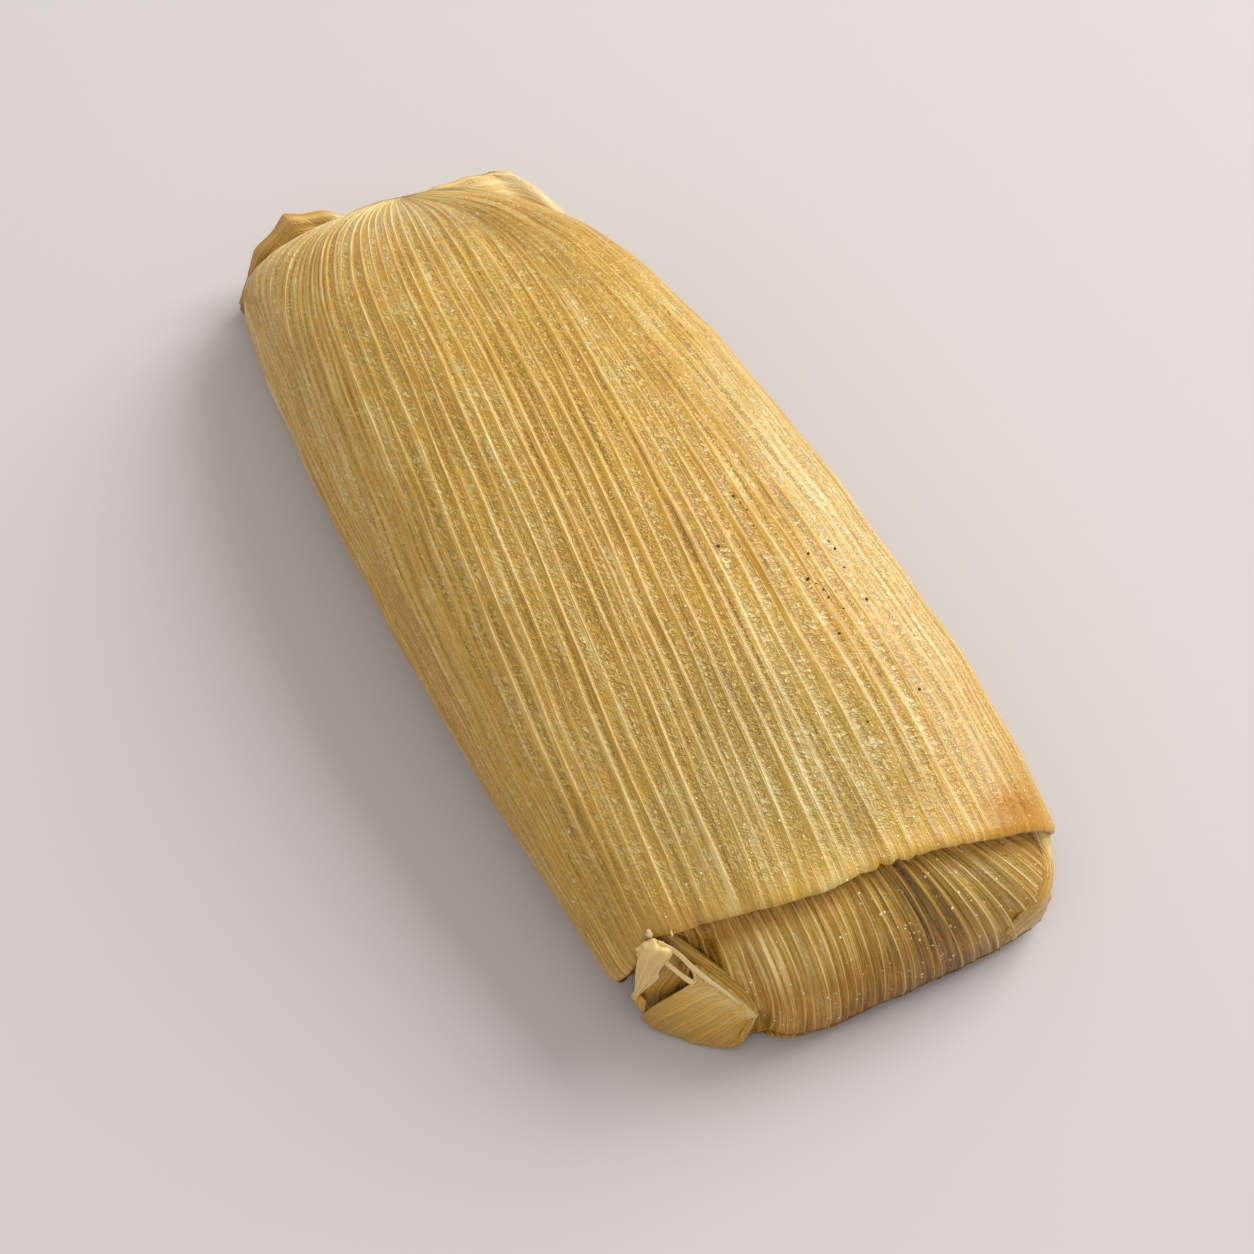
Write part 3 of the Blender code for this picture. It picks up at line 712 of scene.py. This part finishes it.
# Beside the curled corner the wet husk lies over in one smooth rounded fold, from under the lip to the foot.
SIDE_FOLD = np.array([
    [[-26.0, -54.2, 16.8], [-24.7, -56.2, 15.5], [-23.4, -58.1, 13.6], [-21.9, -60.1, 11.9],
     [-20.6, -62.2, 10.2], [-19.5, -64.0, 8.6], [-19.2, -65.3, 6.6], [-19.6, -65.8, 4.9], [-20.5, -66.0, 3.2],
     [-21.3, -66.1, 1.6]],
    [[-25.5, -54.4, 17.6], [-24.2, -56.6, 16.4], [-22.9, -58.4, 14.7], [-21.4, -60.4, 12.9],
     [-20.1, -62.5, 11.5], [-19.0, -64.3, 10.1], [-18.6, -65.5, 7.9], [-19.0, -66.0, 6.1],
     [-20.1, -66.2, 3.9], [-21.1, -66.2, 1.5]],
    [[-24.9, -54.4, 17.4], [-23.6, -56.6, 16.3], [-22.1, -58.4, 14.5], [-20.6, -60.3, 12.7],
     [-19.3, -62.3, 11.6], [-18.2, -64.3, 9.9], [-18.0, -65.6, 7.2], [-18.4, -65.9, 5.4], [-19.7, -66.2, 3.2],
     [-20.9, -66.3, 1.1]],
])
side_fold, down, length = drawn_over(SIDE_FOLD, 40, 90)
side_fold = raised(side_fold, sheet_normals(side_fold), 0.06 * ripple(down * 5 + length, [2.3, 1.4], 28))
add_sheet("flap_side_fold", side_fold, [down * 5, length * 22, 0.5], [0.9, 0.5, 0.5], [0.2, 0, 0], 0.3,
          wet_husk, "inner_parcel")


# ------------------------------------------------------------
# Curled corner. A torn corner of the inner husk rolled into a flattened cornet beside the flap: a leaf
# round an open mouth, the pocket behind it, a milky hood and a tab on its left, two straps across it.

# The leaf's net: each row runs from the mouth to the tip. The rows climb the outside from the foot to
# the crest, cross the shallow channel behind it, and go over a second fold that leans on the flap.
LEAF = np.array([
    [[-29.5, -57.3, 1.8], [-28.4, -58.8, 0.8], [-26.5, -61.1, 0.4], [-24.1, -63.9, 0.4], [-21.5, -66.2, 1.0]],
    [[-29.5, -57.3, 3.4], [-28.1, -59.1, 3.4], [-26.1, -61.4, 3.2], [-23.4, -64.1, 2.8], [-20.6, -66.1, 2.4]],
    [[-28.1, -58.1, 6.2], [-26.9, -59.8, 6.2], [-24.6, -62.0, 5.8], [-22.1, -64.2, 4.8], [-19.5, -65.9, 3.8]],
    [[-26.3, -59.2, 9.0], [-25.0, -60.5, 8.9], [-23.2, -62.2, 8.2], [-21.1, -64.1, 6.8], [-18.9, -66.0, 5.2]],
    [[-24.6, -59.9, 11.0], [-23.4, -60.9, 10.8], [-22.0, -62.5, 9.8], [-20.6, -64.3, 8.0],
     [-18.8, -66.0, 5.8]],
    [[-23.9, -59.8, 12.2], [-22.5, -60.9, 11.4], [-21.3, -62.4, 10.2], [-20.1, -64.3, 8.4],
     [-18.7, -66.1, 6.2]],
    [[-24.0, -59.1, 13.6], [-22.7, -59.8, 12.8], [-21.2, -61.8, 11.0], [-19.8, -64.0, 9.2],
     [-18.4, -66.1, 6.6]],
    [[-23.3, -58.9, 13.0], [-22.0, -59.5, 11.8], [-20.4, -61.5, 10.0], [-18.9, -63.6, 8.0],
     [-17.8, -65.6, 5.6]],
])
# Its ribs run beside the mouth's edge, and sweep back towards the mouth on their way down the leaf's face.
LEAF_LENGTH, RIB_SWEEP, LEAF_CREST = 13.0, 3.6, 0.571
leaf, height, length = drawn_over(LEAF, 120, 90)
leaf_across = length * LEAF_LENGTH + RIB_SWEEP * np.clip(1 - height / LEAF_CREST, 0, 1) ** 0.8 + 1.0
leaf_places = np.cumsum(np.random.default_rng(31).uniform(0.4, 0.8, 34))
leaf_rib, band, leaf_count = ribs(leaf_across, 14 * height, leaf_places, 0.14, 0.24, 32)
LEAF_RIB_RISE, LEAF_SWELL = 0.07, 0.08
leaf_relief = LEAF_RIB_RISE * leaf_rib + LEAF_SWELL * ripple(leaf_across, [5.0, 2.9], 36)
leaf_relief = leaf_relief * ease(length, 0.0, 0.08)
leaf = raised(leaf, sheet_normals(leaf), leaf_relief)
# Painted shade and highlight: the leaf is darker towards its foot by the floor and paler towards its crest,
# where the light catches the rolled edge.
leaf_shade_and_highlight = 0.5 * (1 - ease(height, 0.05, 0.5)) - 0.25 * ease(height, 0.35, 0.55)
# Husk dried paler where it stood up out of the steam: honey coloured, satin and nearly smooth.
pale_husk = husk_material("pale_husk_tip", "#946a10", "#dcae46", "#f6e6b2", 0.26, 0.15, 0.7, 0.4)
add_sheet("curl_leaf", leaf, [leaf_across, 14 * height, leaf_across * 2.3], [band, leaf_count, 1],
          [0.1, 0, leaf_shade_and_highlight], 0.35, pale_husk, "corner_curl")

POCKET = np.array([
    [[-27.6, -56.0, 14.8], [-25.7, -56.5, 14.6], [-24.0, -57.4, 13.4], [-23.5, -58.7, 11.8]],
    [[-27.3, -56.4, 11.6], [-26.0, -57.0, 11.2], [-25.0, -57.9, 10.8], [-23.8, -59.0, 10.0]],
    [[-29.9, -55.7, 6.2], [-27.9, -56.6, 7.2], [-26.3, -57.6, 7.2], [-23.8, -58.8, 8.2]],
    [[-29.3, -55.9, 2.6], [-28.0, -56.7, 2.8], [-26.3, -57.4, 3.2], [-23.5, -57.6, 4.1]],
    [[-28.7, -56.1, 0.6], [-27.4, -56.9, 0.6], [-25.5, -57.6, 0.6], [-22.8, -57.4, 0.9]],
])
pocket, height, length = drawn_over(POCKET, 50, 40)
pocket = raised(pocket, sheet_normals(pocket), 0.06 * ripple(length * 6, [2.1, 1.3, 0.8], 34))
add_sheet("curl_pocket", pocket, [length * 6, height * 14, 0.5], [0.9, 0.5, 0.5], [0.3, 0, 0.1], 0.3,
          pale_husk, "corner_curl")

# The hood: the rows come out from under the lip and run down the mouth's left side as a milky skin.
HOOD = np.array([
    [[-29.3, -55.0, 17.2], [-28.2, -55.1, 18.2], [-27.1, -55.6, 18.6], [-26.2, -56.4, 18.4]],
    [[-29.5, -55.8, 17.2], [-28.5, -56.5, 18.6], [-27.3, -57.4, 18.8], [-26.1, -58.2, 17.9]],
    [[-29.8, -56.1, 15.8], [-29.0, -57.0, 17.4], [-28.1, -57.7, 17.4], [-27.2, -58.3, 16.4]],
    [[-30.1, -56.2, 13.0], [-29.4, -57.1, 14.2], [-28.7, -57.6, 14.4], [-27.7, -57.9, 14.2]],
    [[-30.3, -56.5, 10.6], [-29.9, -57.1, 11.4], [-29.0, -57.5, 11.8], [-27.7, -57.9, 12.2]],
    [[-30.4, -56.5, 8.6], [-30.3, -56.8, 8.8], [-29.7, -57.0, 9.2], [-28.9, -57.2, 9.8]],
    [[-30.4, -56.0, 6.6], [-30.4, -56.2, 6.8], [-30.3, -56.4, 7.2], [-30.1, -56.5, 7.8]],
])
hood, height, length = drawn_over(HOOD, 80, 40)
hood = raised(hood, sheet_normals(hood), 0.12 * ripple(length * 4 + height * 3, [2.6, 1.5], 35))
# The husk's thin inner skin: milky cream, a little glossy, with no ribs.
milky_husk = husk_material("milky_husk_skin", "#d2ac5c", "#ecd08c", "#fbeec8", 0.2, 0.1, 1.0, 0.5)
add_sheet("curl_hood", hood, [length * 4, height * 18, 0.5], [0.8, 0.5, 0.5], [0.25, 0, 0], 0.3,
          milky_husk, "corner_curl")

TAB = np.array([
    [[-30.0, -56.2, 7.6], [-29.6, -56.6, 7.2], [-29.1, -57.2, 6.2]],
    [[-30.3, -55.8, 6.0], [-30.0, -56.6, 5.4], [-29.3, -57.3, 4.6]],
    [[-29.6, -56.7, 3.2], [-29.5, -57.0, 3.2], [-29.4, -57.3, 3.2]],
])
tab, down, length = drawn_over(TAB, 20, 20)
add_sheet("curl_tab", tab, [length * 2.5, down * 4, length * 3], [0.5, length * 2, 0.8], [0.5, 0, 0], 0.35,
          pale_husk, "corner_curl")

STRAP_ROWS, STRAP_SIDES = 44, 16
STRAP_FACING = np.array([-0.6, -0.6, 0.5])


def add_strap(name, knots, half_widths, half_thickness):
    """A narrow strap: an ellipse whose half width changes along a smooth curve, closed at both ends."""
    share = np.linspace(0, 1, STRAP_ROWS)
    centre = along_curve(share, np.array(knots))
    heading = unit(np.gradient(centre, axis=0))
    side = unit(np.cross(heading, STRAP_FACING))
    over = np.cross(side, heading)
    width = smooth_between(share, np.linspace(0, 1, len(half_widths)), np.array(half_widths))[:, None]
    angle = np.linspace(0, 2 * np.pi, STRAP_SIDES, endpoint=False)
    wide = side[:, None] * (np.cos(angle) * width)[..., None]
    tall = over[:, None] * (np.sin(angle) * np.minimum(width, half_thickness))[..., None]
    points, faces = closed_tube(centre[:, None] + wide + tall, centre[[0, -1]], turned=True)
    attributes = {"fibre": per_point([0.5 * angle, 9 * share[:, None], 0.4]),
                  "finish": np.broadcast_to([0.9, 0.1, 2.0], points.shape), "stain": np.zeros_like(points)}
    add_piece(name, points, faces, milky_husk, "corner_curl", attributes)


add_strap("curl_strap_low",
          [[-28.2, -56.6, 17.4], [-27.2, -57.3, 16.4], [-26.3, -58.2, 14.8], [-25.4, -59.1, 13.2],
           [-24.5, -60.0, 11.9], [-23.7, -60.7, 11.0]],
          [0.55, 0.42, 0.36, 0.36, 0.42, 0.3], 0.09)
# The upper strap runs on down the leaf's crest as a thin film.
add_strap("curl_strap_high",
          [[-27.1, -56.4, 18.8], [-25.9, -57.5, 17.9], [-24.9, -58.4, 16.4], [-24.1, -59.3, 14.6],
           [-23.3, -60.2, 13.2], [-22.4, -61.4, 12.0], [-21.5, -62.6, 10.9], [-20.6, -63.8, 9.7],
           [-19.9, -64.7, 8.5]],
          [0.45, 0.42, 0.36, 0.42, 0.4, 0.34, 0.32, 0.26, 0.1], 0.1)


# ------------------------------------------------------------
# Folded tip. The husk's long far tip is folded flat against the far end face and stands out past it
# at both sides as two creased ears. It is the same leaf, smoother where the fold pulls it tight.

FOLD_STATION = np.array([-19.5, -17.4, -15.2, -9.7, -3.0, 4.0, 12.0, 20.0, 22.2, 24.0, 25.6])
FOLD_HEIGHT = np.array([3.0, 7.3, 10.0, 14.0, 13.0, 12.0, 12.9, 14.1, 13.9, 13.5, 12.6])
FOLD_DEPTH = np.array([1.6, 2.8, 3.6, 5.0, 3.2, 2.2, 2.8, 3.6, 3.4, 2.8, 1.2])
FOLD_SETBACK = np.array([1.9, 1.2, 0.7, 0.0, 0.0, 0.0, 0.0, 0.8, 2.2, 5.0, 8.4])
# Profile of the fold, as shares of its depth backwards and its height. Its front leans on the sleeve:
# it comes forward by the lean at each station, and slopes down where the left ear lies lower.
FOLD_PROFILE = np.array([[0.0, 0.0], [0.7, 0.0], [0.92, 0.3], [1.0, 0.8], [0.9, 0.97], [0.5, 1.0],
                         [0.0, 0.93], [0.0, 0.5]])
FOLD_LEAN = np.array([1.0, 1.2, 1.5, 2.0, 1.0, 1.0, 2.5, 4.0, 4.5, 4.5, 3.0])
FOLD_SLOPE = np.array([0.6, 0.5, 0.45, 0.3, 0.1, 0.0, 0.0, 0.0, 0.0, 0.0, 0.0])
FOLD_ROWS, FOLD_COLUMNS, FOLD_RIB_RISE = 150, 72, 0.2
x = FOLD_STATION[0] + (FOLD_STATION[-1] - FOLD_STATION[0]) * np.linspace(0, 1, FOLD_ROWS)[:, None]
fold_rows = (FOLD_HEIGHT, FOLD_DEPTH, FOLD_SETBACK, FOLD_LEAN, FOLD_SLOPE)
height, depth, setback, lean, slope = [np.interp(x, FOLD_STATION, row) for row in fold_rows]
profile_place = np.linspace(0, len(FOLD_PROFILE), FOLD_COLUMNS, endpoint=False)
closed_profile = np.vstack([FOLD_PROFILE, FOLD_PROFILE[:1]])
back, up = [np.interp(profile_place, np.arange(len(closed_profile)), row) for row in closed_profile.T]
at_front = np.clip(1 - back / 0.5, 0, 1)
front = GATHER_Y + 0.3 - FAR_SLANT * x - setback
y = front + back * depth - lean * at_front
z = (up - slope * at_front * ease(up, 0.5, 0.9)) * height
fold_grid = np.stack(np.broadcast_arrays(x, y, z), axis=-1)
fold_across = up * 15.0 + back * 4.0 + 0 * x + 9.0
fold_along = x + 0 * fold_across
fold_places = np.cumsum(np.random.default_rng(41).uniform(0.9, 1.5, 30))
fold_rib, band, fold_count = ribs(fold_across, fold_along, fold_places, 0.2, 0.35, 42)
fold_swell = 0.3 * ripple(fold_along + 0.6 * fold_across, [17.0, 9.5, 5.3], 43)
fold_grid = raised(fold_grid, outwards(fold_grid), FOLD_RIB_RISE * fold_rib + fold_swell)
fold_grid[..., 2] = np.maximum(fold_grid[..., 2], 0.0)
points, faces = closed_tube(fold_grid, [fold_grid[0].mean(axis=0), fold_grid[-1].mean(axis=0)])
fibre = per_point([fold_across, fold_along, fold_across * 1.9])
finish = per_point([band, fold_count, 1.0])
# Painted shade and light: the left ear, turned away from the window, is darker and more toasted, and the
# right ear, facing it, paler.
ear_x = points[:, 0]
stain = np.stack([0.4 - 0.35 * ease(ear_x, -18.0, 0.0), 0.1 * ease(ear_x, 0.0, 16.0),
                  0.7 - 1.0 * ease(ear_x, -18.0, 16.0)], axis=-1)
# The leaf's outer side: ochre and fibrous, with faint ribs.
folded_husk = husk_material("folded_husk_ochre", "#b08828", "#e4bc66", "#faeec6", 0.28, 0.3, 0.8, 0.7)
add_piece("folded_husk_tip", points, faces, folded_husk, "end_fold",
          {"fibre": fibre, "finish": finish, "stain": stain})


# ------------------------------------------------------------
# Crumbs and beads. Grains of the corn dough stick where the husk was opened, and beads of fat and
# steam stand on the leaf. The pinholes are the leaf's own brown specks.

def rounded_lump(rings, sides):
    """Unit ball as rings of a circle between two poles: its points and its faces, pointing out."""
    polar = np.linspace(0, np.pi, rings + 2)[1:-1, None]
    angle = np.linspace(0, 2 * np.pi, sides, endpoint=False)
    ball = [np.sin(polar) * np.cos(angle), np.sin(polar) * np.sin(angle), np.cos(polar)]
    return closed_tube(np.stack(np.broadcast_arrays(*ball), axis=-1), [[0, 0, 1], [0, 0, -1]], turned=True)


def add_lumps(name, centres, normals, sizes, flatness, lump, material, node, roughened=0.0, seed=0):
    """Copies of one lump, each scaled to its sizes, flattened along its surface's normal, in one mesh."""
    ball, ball_faces = lump
    side = unit(np.cross(normals, [0.3, 1.0, 0.2]))
    frames = np.stack([side, np.cross(normals, side), normals * flatness], axis=1)
    random = np.random.default_rng(seed)
    uneven = 1 + roughened * random.uniform(-1, 1, (len(centres), len(ball), 1))
    scaled = ball * np.broadcast_to(np.reshape(sizes, (len(centres), 1, -1)), (len(centres), 1, 3))
    points = centres[:, None] + np.einsum("nbi,nij->nbj", scaled, frames) * uneven
    starts = np.arange(len(centres)) * len(ball)
    faces = [[corner + start for corner in face] for start in starts for face in ball_faces]
    add_piece(name, points, faces, material, node)


def grained_material(name, dark, light, scale, detail, relief=0.0, **finish):
    """Colour drifting between two with a noise; relief (mm) raises the same grain."""
    material = new_material(name)
    place = add_node(material, "TexCoord")
    grain = add_node(material, "TexNoise", {"Vector": place.outputs["Object"]}, Scale=scale, Detail=detail)
    colour = add_node(material, "ValToRGB", {"Fac": grain.outputs["Fac"]})
    colour.color_ramp.elements[0].color = linear(dark)
    colour.color_ramp.elements[1].color = linear(light)
    links = {"Base Color": colour.outputs[0]}
    if relief:
        bump = add_node(material, "Bump", {"Height": grain.outputs["Fac"]}, Strength=0.6,
                        Distance=relief * MM)
        links["Normal"] = bump.outputs[0]
    shader = add_node(material, "BsdfPrincipled", links, **finish)
    add_node(material, "OutputMaterial", {"Surface": shader.outputs[0]})
    return material


# Each crumb: its place, and its half widths across, along and up, in millimetres.
CRUMBS = np.array([[-27.3, -54.9, 18.9, 0.4, 0.6, 0.25], [-25.1, -56.5, 19.4, 0.16, 0.5, 0.25],
                   [-26.8, -56.5, 18.5, 0.34, 0.4, 0.35], [-26.1, -57.8, 18.0, 0.3, 0.55, 0.35],
                   [-29.4, -55.7, 17.0, 0.16, 0.3, 0.3], [7.0, -70.5, 12.0, 0.3, 0.22, 0.4]])
# Steamed corn dough: cream coloured, moist and finely grained.
masa = grained_material("masa_dough_cream", "#c4a05c", "#e2cc9c", 2600.0, 2.0, 0.1,
                        Roughness=0.35, Subsurface_Weight=0.4, Subsurface_Scale=0.0008)
upright = np.tile([0.0, -0.3, 0.95], (len(CRUMBS), 1))
add_lumps("masa_crumbs", CRUMBS[:, :3], upright, CRUMBS[:, 3:], 0.6, rounded_lump(7, 12), masa,
          "corner_curl", 0.22, 51)

# Beads of fat and steam, each with a sharp highlight; their colour, paler than the husk's, is a painted
# glint.
bead_painted_glint = grained_material("fat_bead_painted_glint", "#e6cc90", "#f8ecc8", 400.0, 1.0, Roughness=0.08, IOR=1.47)
BEAD = rounded_lump(4, 8)
SMALLEST_BEAD = 0.06


def add_beads(name, grid, out, weight, count, growth, seed, node):
    """Beads at random places on a grid of points, picked by weight times the area each point stands for.

    A bead's half width is the smallest + growth * r^3 for a random r, so most are tiny.
    """
    spacing = np.linalg.norm(np.roll(grid, -1, axis=1) - grid, axis=-1)
    stretch = np.linalg.norm(np.gradient(grid, axis=0), axis=-1)
    chance = (weight * spacing * stretch).reshape(-1)
    random = np.random.default_rng(seed)
    chosen = random.choice(chance.size, count, p=chance / chance.sum(), replace=False)
    sizes = SMALLEST_BEAD + growth * random.random(count) ** 3
    centres, normals = grid.reshape(-1, 3)[chosen], out.reshape(-1, 3)[chosen]
    add_lumps(name, centres, normals, sizes, 0.5, BEAD, bead_painted_glint, node)


# They stand on the crown, more of them near the lip and on the right.
skin_out = outwards(skin)
near_lip = 0.25 + 1.4 * ease(-skin[..., 1], 20, 60) + 0.5 * ease(skin[..., 0], 0, 18)
husk_weight = (np.clip(skin_out[..., 2], 0, 1) * near_lip)[6:] ** 1.5
add_beads("husk_fat_beads", skin[6:], skin_out[6:], husk_weight, 500, 0.13, 61, "outer_husk")

# On the flap they stand in loose groups.
pleat_out = outwards(flap)
flap_weight = np.clip(pleat_out[..., 2] * 0.7 - pleat_out[..., 1] * 0.7, 0, 1)
flap_weight = flap_weight * ease(-flap[..., 1], 62, 64) * (flap[..., 2] > 3)
grouped = ease(ripple(flap_across + 0.5 * flap_along, [7.0, 4.3, 2.9], 63), 0.1, 0.9)
flap_weight = (flap_weight * (0.15 + grouped))[:-4]
add_beads("flap_fat_beads", flap[:-4], pleat_out[:-4], flap_weight, 230, 0.16, 62, "inner_parcel")

# Brown pinholes, each (x, y, half width): they lie in loose groups on the right of the crown, and are
# drawn a little wider than they are, to show.
PINHOLES = np.array([[12.3, -11.9, 0.16], [12.8, -13.5, 0.1], [12.3, -16.2, 0.1], [6.2, -16.8, 0.2],
                     [16.1, -22.9, 0.14], [14.0, -26.6, 0.2], [15.2, -29.0, 0.15], [15.0, -29.9, 0.14],
                     [16.6, -29.6, 0.12], [13.4, -34.3, 0.13], [19.7, -31.5, 0.2], [9.8, -46.8, 0.12],
                     [18.4, -45.8, 0.17], [20.1, -23.2, 0.16], [20.2, -22.1, 0.12], [19.9, -26.5, 0.13],
                     [14.6, -27.6, 0.1], [15.8, -31.4, 0.1], [12.6, -12.8, 0.09]])
PINHOLE_GROWTH = 1.45
crown_skin, crown_out = skin[:-8].reshape(-1, 3), skin_out[:-8].reshape(-1, 3)
distance = np.linalg.norm(crown_skin[None, :, :2] - PINHOLES[:, None, :2], axis=-1)
nearest = (distance + 100 * (crown_skin[:, 2] < 15)).argmin(axis=1)
# Dried leaf tissue: dark brown and matt.
pinhole_brown = grained_material("pinhole_brown", "#341a06", "#6e420f", 3000.0, 2.0, Roughness=0.5,
                                 Specular_IOR_Level=0.1)
add_lumps("husk_pinholes", crown_skin[nearest], crown_out[nearest], PINHOLES[:, 2] * PINHOLE_GROWTH, 0.25,
          BEAD, pinhole_brown, "outer_husk", 0.2, 71)


# ------------------------------------------------------------
# Stage. A plain pale floor under soft daylight from the right, and the camera looking down on it. The
# floor and the lights are placed in metres, and the floor is matt, so it takes only a soft shadow.

floor_mesh = bpy.data.meshes.new("floor")
floor_mesh.from_pydata([(-3, -3, 0), (3, -3, 0), (3, 3, 0), (-3, 3, 0)], [], [(0, 1, 2, 3)])
floor = bpy.data.objects.new("floor", floor_mesh)
bpy.context.scene.collection.objects.link(floor)
plain_floor = new_material("plain_floor_matt")
matt = add_node(plain_floor, "BsdfPrincipled", Base_Color=linear("#c9c4c3"), Roughness=0.8)
add_node(plain_floor, "OutputMaterial", {"Surface": matt.outputs[0]})
floor_mesh.materials.append(plain_floor)

# Square soft lights: each one's name, its direction from the tamale, its distance, size, power and colour.
LIGHTS = [("window", (0.86, 0.12, 0.62), 1.4, 0.95, 21.0, (1.0, 1.0, 0.99)),
          ("bounce_card", (-0.7, -0.45, 0.75), 1.2, 1.0, 1.6, (1.0, 0.97, 0.93))]
for name, towards, distance, size, power, colour in LIGHTS:
    light = bpy.data.lights.new(name, "AREA")
    light.shape = "SQUARE"
    light.size = size
    light.energy = power
    light.color = colour
    lamp = bpy.data.objects.new(name, light)
    direction = Vector(towards).normalized()
    lamp.location = direction * distance
    lamp.rotation_euler = direction.to_track_quat("Z", "Y").to_euler()
    bpy.context.scene.collection.objects.link(lamp)

world = bpy.data.worlds.new("soft_room")
world.use_nodes = True
world.node_tree.nodes["Background"].inputs["Color"].default_value = (1.0, 0.965, 0.94, 1.0)
world.node_tree.nodes["Background"].inputs["Strength"].default_value = 0.6
bpy.context.scene.world = world
bpy.context.scene.view_settings.view_transform = "Standard"

CAMERA_AZIMUTH, CAMERA_ELEVATION = np.radians(-31.5), np.radians(57.0)
CAMERA_DISTANCE = 393.0
CAMERA_TARGET = np.array([-3.8, -11.4, 11.4]) + PLACE
back = Vector((np.sin(CAMERA_AZIMUTH) * np.cos(CAMERA_ELEVATION),
               -np.cos(CAMERA_AZIMUTH) * np.cos(CAMERA_ELEVATION), np.sin(CAMERA_ELEVATION)))
camera_data = bpy.data.cameras.new("camera")
camera_data.lens = 85.0
camera_data.sensor_width = 36.0
camera = bpy.data.objects.new("camera", camera_data)
camera.location = Vector((CAMERA_TARGET * MM).tolist()) + back * CAMERA_DISTANCE * MM
camera.rotation_euler = back.to_track_quat("Z", "Y").to_euler()
bpy.context.scene.collection.objects.link(camera)
bpy.context.scene.camera = camera
